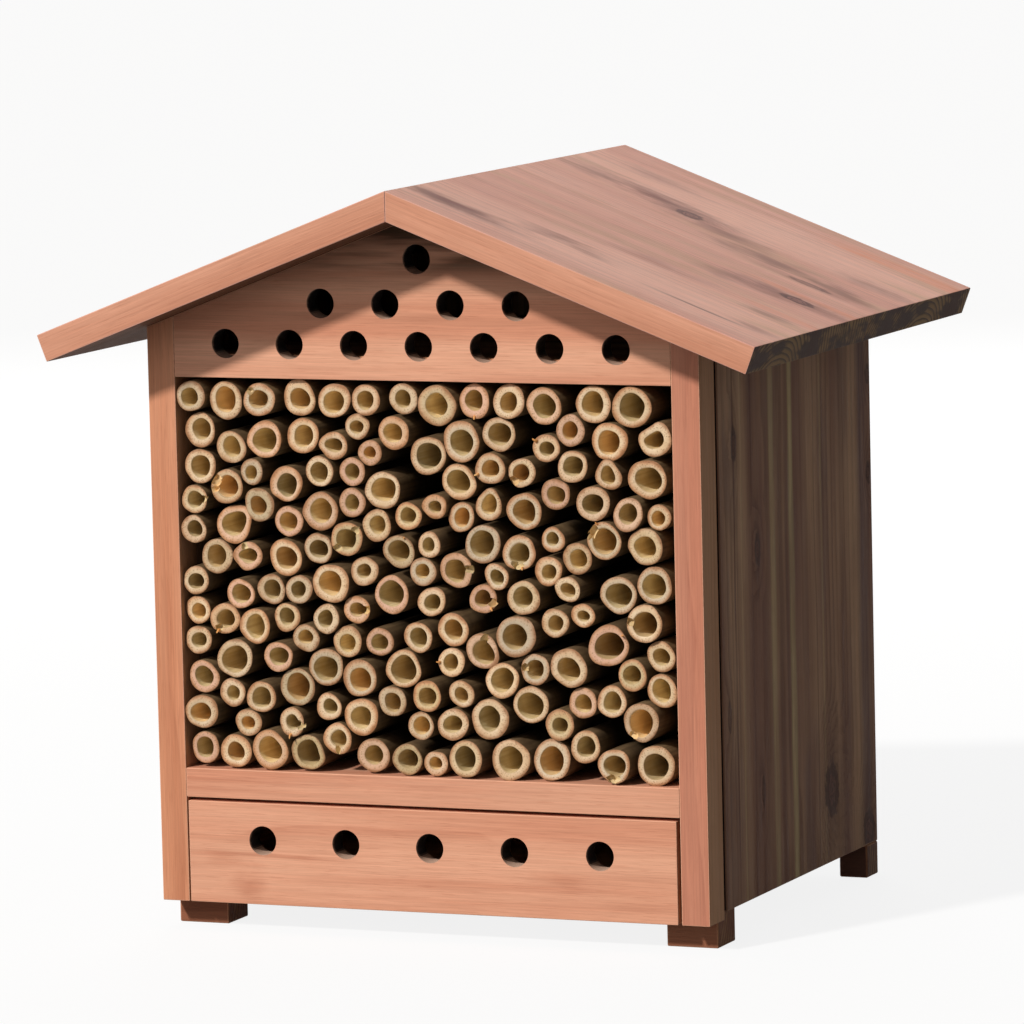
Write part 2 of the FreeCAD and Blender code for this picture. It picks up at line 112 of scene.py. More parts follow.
def finish_surface(tree, colour, roughness, bumps, plain_values):
    """Links a material's colour, roughness and bumps to its surface, and sets what is the same all over."""
    surface = tree.nodes["Principled BSDF"]
    for socket, value in plain_values.items():
        surface.inputs[socket].default_value = value
    tree.links.new(colour, surface.inputs["Base Color"])
    tree.links.new(roughness, surface.inputs["Roughness"])
    tree.links.new(bumps, surface.inputs["Normal"])


# How a log is turned so that its length is X, the board's width Y and the board's thickness Z
QUARTER = math.pi / 2
LYING_FLAT = (0.0, 0.0, 0.0)
ACROSS_THE_FRONT = (QUARTER, 0.0, 0.0)
UP_THE_FRONT = (QUARTER, 0.0, QUARTER)
UP_THE_SIDE = (0.0, QUARTER, 0.0)


def cedar(name, turn, pith, pale, deep, late, ring_gap=2.6, ring_show=0.4, bands_per_metre=62,
          smudge=(0.0, 0.0, 0.0, 1.0), smudge_show=0.0, knots=(), hazes=(), streaks=(), end_grain=0.45):
    """Sawn cedar. Growth rings lie round a pith line, so faces show lines and ends show arcs.

    pith is where the turned log's middle lies, in mm. A knot, and a haze, which is a soft dark patch,
    is its place on the object, its radius, its length over width and how dark it is. A streak is its
    place across the board, its width, its colour and its strength, and if it isn't full length, where
    it starts and ends along the board. All lengths are in mm."""
    material, tree = new_material(name)
    coordinates = add_node(tree, "TexCoord", {}).outputs
    pith_place = Vector(pith) * MM
    sockets = {"Vector": coordinates["Object"], "Location": pith_place, "Rotation": turn}
    log = add_node(tree, "Mapping", sockets).outputs[0]

    # Distance from the pith, which wanders as a real log does
    slow_wander = figure(tree, "MULTIPLY", cloud(tree, log, (3, 15, 15), 3), 11 * MM)
    quick_wander = figure(tree, "MULTIPLY", cloud(tree, log, (14, 110, 110)), 1.6 * MM)
    radius = vector_figure(tree, "LENGTH", vector_figure(tree, "MULTIPLY", log, (0, 1, 1))[0])["Value"]
    radius = figure(tree, "ADD", figure(tree, "ADD", radius, slow_wander), quick_wander)

    # Hazes and knots. A knot pushes the rings aside
    haze_rough = cloud(tree, log, (50, 150, 150), 5)
    knot_rough = cloud(tree, log, (260, 320, 60), 4)

    def mark_distance(place, squash, rough, spread):
        """How far the surface is from a mark that is drawn out along the board, with a rough edge."""
        mark_place = Euler(turn).to_matrix() @ (Vector(place) * MM) + pith_place
        away = vector_figure(tree, "SUBTRACT", log, mark_place)[0]
        near = vector_figure(tree, "LENGTH", vector_figure(tree, "MULTIPLY", away, squash)[0])["Value"]
        return figure(tree, "MULTIPLY_ADD", figure(tree, "SUBTRACT", rough, 0.5), spread, near)

    haze_shapes = []
    for place, size, length, darkness in hazes:
        haze = mark_distance(place, (1 / length, 1, 0.15), haze_rough, 3 * size * MM)
        haze_shapes.append((haze, 1.9 * size * MM, darkness))
    knot_shapes = []
    for place, size, length, darkness in knots:
        haze = mark_distance(place, (0.35 / length, 0.8, 0.1), haze_rough, 2.4 * size * MM)
        haze_shapes.append((haze, 2.4 * size * MM, 0.65 * darkness))
        heart = mark_distance(place, (1 / length, 1, 0.15), knot_rough, size * MM)
        swell = rise(tree, heart, 0.0, 4.5 * size * MM, 3.2 * size * MM * darkness, 0.0)
        radius = figure(tree, "ADD", radius, swell)
        knot_shapes.append((heart, size * MM, darkness))

    # Rings, broad bands, fine lines, fibres and pores
    ring = figure(tree, "FRACT", figure(tree, "DIVIDE", radius, ring_gap * MM))
    growth = figure(tree, "MULTIPLY", rise(tree, ring, 0.35, 0.93), rise(tree, ring, 1.0, 0.95))
    ring_strength = rise(tree, cloud(tree, log, (4, 60, 60), 2), 0.35, 0.7, 0.15, 1.0)
    latewood = figure(tree, "MULTIPLY", growth, ring_strength)
    bands = rise(tree, cloud(tree, log, (3, bands_per_metre, bands_per_metre), 4), 0.34, 0.68)
    clouds = rise(tree, cloud(tree, log, (18, 44, 44), 4), 0.34, 0.7)
    smudges = rise(tree, cloud(tree, log, (9, 46, 46), 3), 0.5, 0.72, 0.0, smudge_show)
    lines = rise(tree, cloud(tree, log, (9, 500, 500), 3), 0.44, 0.66)
    fibres = cloud(tree, log, (36, 1700, 1700), 3)
    pores = rise(tree, cloud(tree, log, (90, 2000, 2000), 2), 0.55, 0.7)

    # Colour: bands and rings, then streaks, hazes and knots, then fibres and pores over all
    colour = blend_colours(tree, bands, pale, deep)
    colour = blend_colours(tree, figure(tree, "MULTIPLY", clouds, 0.3), colour, deep)
    colour = blend_colours(tree, smudges, colour, smudge)
    colour = blend_colours(tree, figure(tree, "MULTIPLY", latewood, ring_show), colour, late)
    across_board = vector_figure(tree, "DOT_PRODUCT", log, (0, 1, 0))["Value"]
    along_board = vector_figure(tree, "DOT_PRODUCT", log, (1, 0, 0))["Value"]
    waver = figure(tree, "MULTIPLY_ADD", cloud(tree, log, (9, 30, 30), 2), 5 * MM, across_board)
    broken = rise(tree, cloud(tree, log, (14, 150, 150), 3), 0.3, 0.6, 0.35, 1.0)
    fade = 16 * MM
    for across, width, tint, strength, *ends in streaks:
        line = across * MM + pith_place.y + 2.5 * MM
        off_line = figure(tree, "ABSOLUTE", figure(tree, "SUBTRACT", waver, line))
        stripe = rise(tree, off_line, width * MM / 2, width * MM / 8, 0.0, strength)
        mark = figure(tree, "MULTIPLY", broken, stripe)
        if ends:
            start, end = Vector(ends) * MM + Vector((pith_place.x, pith_place.x))
            mark = figure(tree, "MULTIPLY", mark, rise(tree, along_board, start - fade, start + fade))
            mark = figure(tree, "MULTIPLY", mark, rise(tree, along_board, end + fade, end - fade))
        colour = blend_colours(tree, mark, colour, tint)
    for haze, size, darkness in haze_shapes:
        colour = blend_colours(tree, rise(tree, haze, size, -0.1 * size, 0.0, darkness), colour, late)
    heart_dark = (*(0.25 * level for level in late[:3]), 1.0)
    heart_brown = (*(1.4 * level for level in late[:3]), 1.0)
    for heart, size, darkness in knot_shapes:
        inside = rise(tree, heart, 1.3 * size, 0.8 * size, 0.0, 0.85 * darkness)
        heart_rings = figure(tree, "PINGPONG", figure(tree, "DIVIDE", heart, 0.18 * size), 1.0)
        heart_colour = blend_colours(tree, heart_rings, heart_dark, heart_brown)
        colour = blend_colours(tree, inside, colour, heart_colour)
        rim = figure(tree, "MULTIPLY", rise(tree, heart, 0.4 * size, 0.9 * size),
                     rise(tree, heart, 1.4 * size, 1.0 * size, 0.0, 0.6 * darkness))
        colour = blend_colours(tree, rim, colour, heart_dark)
    shade = figure(tree, "MULTIPLY_ADD", fibres, 0.6, 0.7)
    colour = blend_colours(tree, 0.75, colour, shade, "MULTIPLY")
    colour = blend_colours(tree, figure(tree, "MULTIPLY", lines, 0.1), colour, late)
    colour = blend_colours(tree, figure(tree, "MULTIPLY", pores, 0.24), colour, late)

    # Faces sawn across the grain are blotched and show the rings
    sockets = {"Vector": coordinates["Normal"], "Rotation": turn}
    facing = add_node(tree, "Mapping", sockets, vector_type="VECTOR").outputs[0]
    along = vector_figure(tree, "DOT_PRODUCT", facing, (1, 0, 0))["Value"]
    end_face = rise(tree, figure(tree, "ABSOLUTE", along), 0.6, 0.9, 0.0, end_grain)
    blotches = rise(tree, cloud(tree, log, (60, 60, 120), 3), 0.42, 0.58)
    end_pale = blend_colours(tree, blotches, on_screen(146, 118, 84), on_screen(36, 27, 23))
    end_colour = blend_colours(tree, growth, end_pale, on_screen(24, 18, 15))
    colour = blend_colours(tree, end_face, colour, end_colour)

    # Relief: fibres and latewood stand up, and pores are sunk
    ring_height = figure(tree, "MULTIPLY", latewood, 0.4)
    height = figure(tree, "ADD", figure(tree, "MULTIPLY", fibres, 0.6), ring_height)
    height = figure(tree, "SUBTRACT", height, figure(tree, "MULTIPLY", pores, 0.4))
    bumps = relief(tree, height, 0.35, 0.25 * MM)
    roughness = rise(tree, fibres, 0.3, 0.7, 0.58, 0.78)
    finish_surface(tree, colour, roughness, bumps, {"Specular IOR Level": 0.06})
    return material


def finish_node(node, material):
    """Gives a CAD node that stays in view its finish."""
    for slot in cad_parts[node].material_slots:
        slot.material = material


raw_pale = on_screen(214, 164, 128)
raw_deep = on_screen(186, 128, 96)
raw_late = on_screen(146, 88, 62)
base_cedar = cedar("base_cedar", LYING_FLAT, (40, 12, -95), raw_pale, raw_deep, raw_late)
finish_node("base_board", base_cedar)


# Feet
# Four short blocks cross-cut from cedar stock, arrises sanded off. The front two are notched round the
# stiles, and the back two are smaller. A countersunk steel screw in a drilled well holds each one up.

def clear_selection():
    bpy.ops.object.select_all(action="DESELECT")


def make_active(piece):
    clear_selection()
    piece.select_set(True)
    bpy.context.view_layer.objects.active = piece


def edit_all():
    """Goes into edit mode with all of the active piece selected."""
    bpy.ops.object.mode_set(mode="EDIT")
    bpy.ops.mesh.select_all(action="SELECT")


def leave_edit():
    bpy.ops.object.mode_set(mode="OBJECT")


def apply_place():
    """Moves a new piece's place, turn and scale into its mesh."""
    bpy.ops.object.transform_apply(location=True, rotation=True, scale=True)


def add_materials(piece, materials):
    for material in materials:
        piece.data.materials.append(material)


def apply_modifier(piece, kind, **settings):
    """Adds a modifier, sets it up and applies it."""
    make_active(piece)
    modifier = piece.modifiers.new(kind.lower(), kind)
    for setting, choice in settings.items():
        setattr(modifier, setting, choice)
    bpy.ops.object.modifier_apply(modifier=modifier.name)


def sawn_board(name, low, high, *materials):
    """A board sawn square between two corners."""
    clear_selection()
    low, high = Vector(low), Vector(high)
    bpy.ops.mesh.primitive_cube_add(size=1, location=(low + high) / 2)
    board = bpy.context.object
    board.name = name
    board.scale = high - low
    apply_place()
    add_materials(board, materials)
    return board


SHARP_EDGE = math.radians(40)


def ease_arrises(board, width, strip=1):
    """Sands the sharp edges round. The rounded strips take the board's second material, or another."""
    apply_modifier(board, "BEVEL", width=width, segments=2, limit_method="ANGLE", angle_limit=SHARP_EDGE,
                   material=strip)


CUT_WELD = 0.02 * MM


def cut_away(board, cutter, material_mode="TRANSFER"):
    """Takes one shape out of another, leaves the cutter's material on the cut, and welds stray points."""
    apply_modifier(board, "BOOLEAN", operation="DIFFERENCE", object=cutter, solver="EXACT",
                   material_mode=material_mode)
    bpy.data.objects.remove(cutter)
    edit_all()
    bpy.ops.mesh.remove_doubles(threshold=CUT_WELD)
    leave_edit()


def place_piece(piece, body, slot, *nodes):
    """Sets a finished piece on its body, in the place of its CAD nodes, and hides the nodes. The slot is not
    used.
    """
    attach(piece, body)
    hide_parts(*nodes)


# The front feet's cedar is darker than the front boards': partly its own tone and partly painted shade under
# the case
foot_pale = on_screen(172, 118, 90)
foot_deep = on_screen(148, 93, 69)
foot_late = on_screen(105, 63, 46)
# The back feet's cedar is darker still: painted shade
dark_pale = on_screen(150, 106, 88)
dark_deep = on_screen(112, 78, 66)
dark_late = on_screen(78, 54, 46)
foot_rubbed = on_screen(210, 150, 116)
foot_edge = cedar("foot_worn_edge", ACROSS_THE_FRONT, (10, 15, 140), foot_rubbed, foot_pale, foot_deep)
bare_well = cedar("foot_well_cedar", LYING_FLAT, (10, 15, 140), foot_deep, foot_late, foot_late)
FOOT_ARRIS = 0.7 * MM
NOTCH_ROOM = Vector((0.1, 0.1, 0.1)) * MM
WELL_ROOM = 0.1 * MM
SCREW_HEAD = 7 * MM
SCREW_HEAD_DEPTH = 2.4 * MM
SCREW_SHANK = 3.5 * MM
COPY_WELD = 0.01 * MM


def merged_copy(name, node):
    """A copy of a CAD node with its loose triangles merged, left in edit mode with all of it selected."""
    copy = bpy.data.objects.new(name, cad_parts[node].data.copy())
    bpy.context.collection.objects.link(copy)
    make_active(copy)
    edit_all()
    bpy.ops.mesh.remove_doubles(threshold=COPY_WELD)
    return copy


def solids_of(node):
    """Parts a copy of a CAD node into its solids, and reads the points of each."""
    merged_copy("measured", node)
    bpy.ops.mesh.separate(type="LOOSE")
    leave_edit()
    solids = []
    for solid in list(bpy.context.selected_objects):
        solids.append(np.array([point.co for point in solid.data.vertices]))
        bpy.data.objects.remove(solid)
    return sorted(solids, key=lambda points: tuple(points.mean(0)))


DRILL_LEAD = 2 * MM
DRILL_SIDES = 48


def drill(place, direction, radius, depth, material):
    """A drill bit that starts a little outside the face it enters."""
    clear_selection()
    direction = Vector(direction)
    middle = Vector(place) + direction * (depth - DRILL_LEAD) / 2
    turn = direction.to_track_quat("Z", "Y").to_euler()
    bpy.ops.mesh.primitive_cylinder_add(vertices=DRILL_SIDES, radius=radius, depth=depth + DRILL_LEAD,
                                        location=middle, rotation=turn)
    bit = bpy.context.object
    apply_place()
    add_materials(bit, [material])
    return bit


foot_screw_places = []
for points in solids_of("foot_screws"):
    low, high = points.min(0), points.max(0)
    foot_screw_places.append(Vector(((low[0] + high[0]) / 2, (low[1] + high[1]) / 2, low[2])))
front_feet_tone_and_shade = (foot_pale, foot_deep, foot_late)
back_feet_painted_shade = (dark_pale, dark_deep, dark_late)
feet = {
    "front_left_foot": front_feet_tone_and_shade,
    "front_right_foot": front_feet_tone_and_shade,
    "back_left_foot": back_feet_painted_shade,
    "back_right_foot": back_feet_painted_shade,
}
well_radius = SCREW_HEAD / 2 + WELL_ROOM
for number, (foot, cut) in enumerate(feet.items()):
    pith = (31 * number, 20 + 9 * number, 120 + 13 * number)
    foot_cedar = cedar(f"{foot}_cedar", ACROSS_THE_FRONT, pith, *cut)
    low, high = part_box(foot)
    block = sawn_board(f"{foot}_block", low, high, foot_cedar, foot_edge)
    end, hand = foot.split("_")[:2]
    if end == "front":
        stile_low, stile_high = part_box(f"{hand}_stile")
        cut_away(block, sawn_board("notch", stile_low - NOTCH_ROOM, stile_high + NOTCH_ROOM, foot_cedar))
    for place in foot_screw_places:
        if low.x < place.x < high.x and low.y < place.y < high.y:
            below = Vector((place.x, place.y, low.z))
            well_depth = place.z + SCREW_HEAD_DEPTH
            cut_away(block, drill(below, (0, 0, 1), well_radius, well_depth, bare_well))
    ease_arrises(block, FOOT_ARRIS)
    place_piece(block, "case", "cedar_front", foot)


# Foot screws
# Countersunk wood screws of bright zinc-plated steel with a cross recess, pressed from wire.
# One is driven up through each front foot into the base board, and through each back foot into a panel.

def zinc_steel(name):
    """Plated steel: a cool grey with faint drawn lines and duller patches."""
    material, tree = new_material(name)
    place = add_node(tree, "TexCoord", {}).outputs["Object"]
    patches = cloud(tree, place, (700, 700, 700), 3)
    lines = cloud(tree, place, (300, 4000, 4000), 2)
    colour = blend_colours(tree, patches, on_screen(196, 197, 198), on_screen(150, 150, 146))
    roughness = rise(tree, patches, 0.3, 0.7, 0.25, 0.5)
    finish_surface(tree, colour, roughness, relief(tree, lines, 0.2, 0.05 * MM), {"Metallic": 1.0})
    return material


RECESS_WIDTH = 0.9 * MM
RECESS_LENGTH = 3.8 * MM
RECESS_DEPTH = 1.3 * MM
THREAD_TURNS = 7
# Shares of the screw's length where the thread starts and ends, of the shank's width at the thread's
# root, and of its width at the point
THREAD_START = 0.35
THREAD_END = 0.9
THREAD_ROOT = 0.74
POINT_WIDTH = 0.15
screw_steel = zinc_steel("zinc_plated_steel")


def wood_screw(length):
    """A screw that stands on its head at the origin, with its point up."""
    clear_selection()
    bpy.ops.mesh.primitive_cone_add(vertices=32, radius1=SCREW_HEAD / 2, radius2=SCREW_SHANK / 2,
                                    depth=SCREW_HEAD_DEPTH, location=(0, 0, SCREW_HEAD_DEPTH / 2))
    made = bpy.context.object
    apply_place()
    add_materials(made, [screw_steel])
    bpy.ops.object.mode_set(mode="EDIT")
    bpy.ops.mesh.select_mode(type="FACE")
    bpy.ops.mesh.select_all(action="DESELECT")
    leave_edit()
    for face in made.data.polygons:
        face.select = face.normal.z > 0.9
    bpy.ops.object.mode_set(mode="EDIT")
    plain = length * THREAD_START - SCREW_HEAD_DEPTH
    half_pitch = length * (THREAD_END - THREAD_START) / THREAD_TURNS / 2
    bpy.ops.mesh.extrude_region_move(TRANSFORM_OT_translate={"value": (0, 0, plain)})
    for half_turn in range(2 * THREAD_TURNS):
        bpy.ops.mesh.extrude_region_move(TRANSFORM_OT_translate={"value": (0, 0, half_pitch)})
        swing = THREAD_ROOT if half_turn % 2 == 0 else 1 / THREAD_ROOT
        bpy.ops.transform.resize(value=(swing, swing, 1))
    point = length * (1 - THREAD_END)
    bpy.ops.mesh.extrude_region_move(TRANSFORM_OT_translate={"value": (0, 0, point)})
    bpy.ops.transform.resize(value=(POINT_WIDTH, POINT_WIDTH, 1))
    leave_edit()
    for slot_size in ((RECESS_LENGTH, RECESS_WIDTH), (RECESS_WIDTH, RECESS_LENGTH)):
        half = Vector((*slot_size, 2 * RECESS_DEPTH)) / 2
        cut_away(made, sawn_board("recess", -half, half, screw_steel))
    return made


def join_pieces(name, pieces):
    clear_selection()
    for piece in pieces:
        piece.select_set(True)
    bpy.context.view_layer.objects.active = pieces[0]
    bpy.ops.object.join()
    joined = bpy.context.object
    joined.name = name
    return joined


def drive_screws(name, length, places, direction):
    """Copies one screw to each place, with its head's face there and its point in a direction."""
    pattern = wood_screw(length)
    turn = Vector(direction).to_track_quat("Z", "Y").to_matrix().to_4x4()
    screws = []
    for place in places:
        screw = pattern.copy()
        screw.data = pattern.data.copy()
        bpy.context.collection.objects.link(screw)
        screw.data.transform(turn)
        screw.data.transform(Matrix.Translation(place))
        screws.append(screw)
    bpy.data.objects.remove(pattern)
    return join_pieces(name, screws)


FOOT_SCREW_LENGTH = 16 * MM
foot_screws = drive_screws("foot_wood_screws", FOOT_SCREW_LENGTH, foot_screw_places, (0, 0, 1))
place_piece(foot_screws, "case", "steel_fastener", "foot_screws")


# Side panels
# Two wide cedar boards with upright grain, planed and left raw. Their tops are bevelled to the roof.
# A narrow groove along the front keeps a shadow line beside the stile, its faces painted near black as
# painted shadow.

ROOF_PITCH = math.radians(21)
ROOF_THICKNESS = 12 * MM


def saw_off(board, point, waste):
    """Saws a board along a plane, closes the cut, and drops what lies on the waste side."""
    make_active(board)
    edit_all()
    bpy.ops.mesh.bisect(plane_co=point, plane_no=waste, use_fill=True, clear_outer=True)
    leave_edit()


def bevel_to_roof(board, hand):
    """Saws a board's top along the underside of one slope. The hand is -1 for left and 1 for right."""
    ridge_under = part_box("gable_front")[1].z
    saw_off(board, (0, 0, ridge_under), (hand * math.sin(ROOF_PITCH), 0, math.cos(ROOF_PITCH)))


# The panels' cedar is browner and darker than the front's: partly the boards' own tone and partly painted
# shade on the case's sides and back
panel_pale = on_screen(202, 162, 130)
panel_deep = on_screen(142, 104, 86)
panel_late = on_screen(86, 56, 46)
sap_pale = on_screen(230, 206, 156)
sap_brown = on_screen(92, 60, 48)
dusk = on_screen(98, 76, 76)
PANEL_ARRIS = 0.6 * MM
right_panel_streaks = (
    (-20.5, 9, sap_pale, 0.5),
    (2, 8, sap_pale, 0.85),
    (-11, 10, sap_brown, 0.6),
    (-4, 5, sap_brown, 0.5),
    (-88, 5, sap_brown, 0.6),
    (-66, 3, sap_brown, 0.75),
    (-58, 2.4, sap_pale, 0.3),
    (-46, 3, sap_brown, 0.6),
    (14, 3, sap_brown, 0.4),
    (30, 2.4, sap_brown, 0.5),
    (38, 2.6, sap_pale, 0.3),
    (64, 9, sap_brown, 0.5),
    (90, 18, dusk, 0.75),
)
right_panel_knots = (
    ((125, -65, 208), 2.6, 2.6, 0.9),
    ((125, -39, 161), 2.8, 2.2, 0.9),
    ((125, 98, 178), 2.4, 1.7, 0.9),
    ((125, 99, 221), 2.6, 1.4, 0.8),
    ((125, 46, 46), 7.0, 1.5, 1.0),
    ((125, 92, 21), 6.0, 1.3, 1.0),
    ((125, -37, 58), 1.6, 3.6, 0.8),
    ((125, -75, 95), 2.0, 3.0, 0.6),
)
left_panel_streaks = (
    (-40, 5, sap_pale, 0.7),
    (-28, 8, sap_brown, 0.6),
    (18, 4.5, sap_pale, 0.6),
    (34, 3, sap_brown, 0.6),
    (70, 9, sap_brown, 0.5),
)
left_panel_knots = (
    ((-125, 32, 182), 4.2, 1.6, 0.8),
    ((-125, -52, 74), 6.0, 1.5, 0.75),
    ((-125, 74, 118), 2.4, 2.2, 0.8),
)
panel_marks = {
    "left": (left_panel_streaks, left_panel_knots),
    "right": (right_panel_streaks, right_panel_knots),
}
panel_edge = cedar("panel_worn_edge", UP_THE_SIDE, (5, 30, 260), panel_pale, panel_deep, panel_late)
# The groove's faces are painted near black: painted shadow
groove_painted_shadow = cedar("groove_shadow_cedar", UP_THE_SIDE, (5, 30, 260), on_screen(58, 40, 33),
                    on_screen(44, 30, 25), on_screen(30, 20, 17))
GROOVE_WIDTH = 3 * MM
GROOVE_DEPTH = 3 * MM
for hand, sign in (("left", -1), ("right", 1)):
    streaks, knots = panel_marks[hand]
    panel_cedar = cedar(f"{hand}_panel_cedar", UP_THE_SIDE, (sign * 60, 14 * sign, sign * 210), panel_pale,
                        panel_deep, panel_late, ring_gap=3.6, ring_show=0.5, bands_per_metre=40,
                        smudge=dusk, smudge_show=0.5, streaks=streaks, knots=knots)
    low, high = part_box(f"{hand}_side_panel")
    panel = sawn_board(f"{hand}_panel_board", low, high, panel_cedar, panel_edge)
    bevel_to_roof(panel, sign)
    outside = high.x if sign > 0 else low.x
    groove_low = (outside - GROOVE_DEPTH, low.y - GROOVE_WIDTH, low.z - GROOVE_WIDTH)
    groove_high = (outside + GROOVE_DEPTH, low.y + GROOVE_WIDTH, high.z + GROOVE_WIDTH)
    cut_away(panel, sawn_board("groove", groove_low, groove_high, groove_painted_shadow))
    ease_arrises(panel, PANEL_ARRIS)
    place_piece(panel, "case", "cedar_panel", f"{hand}_side_panel")


# Back panel
# A cedar board with upright grain that closes the case behind the canes and the drawer.
# It is cut to the gable's shape, drilled and countersunk for six screws.

FLAT_EDGE = math.radians(1)


def eased_copy(name, node, width, *materials):
    """A CAD node's own shape with its arrises sanded: a merged copy, cleaned of flat edges."""
    copy = merged_copy(name, node)
    bpy.ops.mesh.dissolve_limited(angle_limit=FLAT_EDGE)
    leave_edit()
    copy.data.materials.clear()
    add_materials(copy, materials)
    for face in copy.data.polygons:
        face.material_index = 0
        face.use_smooth = False
    ease_arrises(copy, width)
    return copy


back_knots = (
    ((-46, 102.5, 196), 4.4, 1.6, 0.8),
    ((58, 102.5, 96), 6.0, 1.5, 0.75),
    ((20, 102.5, 262), 2.6, 2.0, 0.8),
)
back_streaks = (
    (-74, 6, sap_pale, 0.6),
    (-30, 9, sap_brown, 0.45),
    (12, 5, sap_pale, 0.5),
    (88, 8, sap_brown, 0.5),
)
BACK_ARRIS = 0.4 * MM
back_cedar = cedar("back_cedar", UP_THE_FRONT, (90, -20, -330), panel_pale, panel_deep, panel_late,
                   ring_gap=3.6, bands_per_metre=40, smudge=dusk, smudge_show=0.4,
                   streaks=back_streaks, knots=back_knots)
back_board = eased_copy("back_panel_board", "back_panel", BACK_ARRIS, back_cedar, panel_edge)
place_piece(back_board, "case", "cedar_panel", "back_panel")


# Back panel screws
# The same countersunk steel screws as in the feet, but longer.
# Pairs of them hold the back panel to the base board, the shelf and the attic floor.

BACK_SCREW_LENGTH = 30 * MM
back_screw_places = []
for points in solids_of("back_panel_screws"):
    low, high = points.min(0), points.max(0)
    back_screw_places.append(Vector(((low[0] + high[0]) / 2, high[1], (low[2] + high[2]) / 2)))
back_screws = drive_screws("back_wood_screws", BACK_SCREW_LENGTH, back_screw_places, (0, -1, 0))
place_piece(back_screws, "case", "steel_fastener", "back_panel_screws")


# Cane shelf
# A cedar board that carries the canes. Its planed front edge shows as the rail over the drawer.
# It is glued between the side panels and the stiles, and screwed from the back.

front_pale = on_screen(234, 175, 144)
front_deep = on_screen(218, 151, 121)
front_late = on_screen(186, 116, 88)
front_rubbed = on_screen(234, 178, 146)
shelf_pale = on_screen(226, 168, 138)
FRONT_ARRIS = 0.35 * MM
front_edge = cedar("front_worn_edge", ACROSS_THE_FRONT, (5, 30, 300), front_rubbed, front_pale, front_deep)
shelf_cedar = cedar("shelf_cedar", LYING_FLAT, (20, 150, -20), shelf_pale, front_deep, front_late)
shelf = sawn_board("cane_shelf_board", *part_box("cane_shelf"), shelf_cedar, front_edge)
ease_arrises(shelf, FRONT_ARRIS)
place_piece(shelf, "case", "cedar_front", "cane_shelf")


# Attic floor
# A thinner cedar board, raw on both faces, that closes the cane bay at the top.
# It lies behind the gable, between the side panels, and is screwed from the back.

ATTIC_ARRIS = 0.4 * MM
attic_cedar = cedar("attic_cedar", LYING_FLAT, (70, 30, -310), raw_pale, raw_deep, raw_late)
attic_board = eased_copy("attic_floor_board", "attic_floor", ATTIC_ARRIS, attic_cedar, attic_cedar)
place_piece(attic_board, "case", "cedar_inside", "attic_floor")


# Stiles
# Two upright cedar strips that cover the front edges of the side panels, with bevelled tops.
# The left one is a paler cut, the right one pinker. Both are glued on and sanded.

left_stile_cedar = cedar("left_stile_cedar", UP_THE_FRONT, (15, 140, 190), on_screen(228, 164, 129),
                         on_screen(206, 136, 101), on_screen(170, 102, 74))
right_stile_cedar = cedar("right_stile_cedar", UP_THE_FRONT, (140, -100, 230), on_screen(214, 152, 125),
                          on_screen(200, 132, 106), on_screen(168, 104, 84))
# The outer side faces take a yellower cedar, painted to the olive tint of the shade on them
stile_shade_side_cedar = cedar("stile_shade_side_cedar", UP_THE_SIDE, (80, 40, 190), on_screen(214, 166, 130),
                         on_screen(192, 144, 110), on_screen(150, 104, 76))
STILE_FACE, STILE_EDGE, STILE_SHADE_SIDE = range(3)
for hand, sign, stile_cedar in (("left", -1, left_stile_cedar), ("right", 1, right_stile_cedar)):
    low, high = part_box(f"{hand}_stile")
    stile = sawn_board(f"{hand}_stile_strip", low, high, stile_cedar, front_edge, stile_shade_side_cedar)
    for face in stile.data.polygons:
        face.material_index = STILE_SHADE_SIDE if abs(face.normal.x) > 0.5 else STILE_FACE
    bevel_to_roof(stile, sign)
    ease_arrises(stile, FRONT_ARRIS, STILE_EDGE)
    place_piece(stile, "case", "cedar_front", f"{hand}_stile")


# Gable front
# A cedar board sawn to the roof's slopes, with level grain, set flush between the stiles.
# Twelve entry holes are bored through it in three rows, their walls painted near black behind the lip as
# painted shade.

def painted_shade_bore(name, face):
    """The wall of a bored hole: painted nearly black behind the lip as painted shade, and left pale along the
    upward-facing bottom, where the key light falls, as painted light.
    """
    material, tree = new_material(name)
    coordinates = add_node(tree, "TexCoord", {}).outputs
    place = coordinates["Object"]
    depth = figure(tree, "SUBTRACT", vector_figure(tree, "DOT_PRODUCT", place, (0, 1, 0))["Value"], face)
    facing_up = vector_figure(tree, "DOT_PRODUCT", coordinates["Normal"], (0.25, 0, 1))["Value"]
    shade_off_lit_bottom = rise(tree, facing_up, 0.72, 0.96, 1.0, 0.0)
    rough = cloud(tree, place, (500, 160, 500), 3)
    ragged = figure(tree, "MULTIPLY_ADD", rough, 3 * MM, depth)
    # Painted shade deepening from the lip, held off the upward-facing bottom as painted light
    bore_painted_shade = figure(tree, "MULTIPLY", rise(tree, ragged, 0.5 * MM, 4.0 * MM), shade_off_lit_bottom)
    colour = blend_colours(tree, bore_painted_shade, on_screen(226, 186, 162), on_screen(24, 18, 16))
    roughness = rise(tree, rough, 0.3, 0.7, 0.35, 0.6)
    finish_surface(tree, colour, roughness, relief(tree, rough, 0.4, 0.3 * MM), {})
    return material


ENTRY_BORE = 12.5 * MM
BREAK_THROUGH = 2 * MM
GABLE_SPACING = 29.5 * MM
# For each row: how many holes, and how high over the board's lower edge
gable_rows = ((7, 14.5 * MM), (4, 32 * MM), (1, 51 * MM))
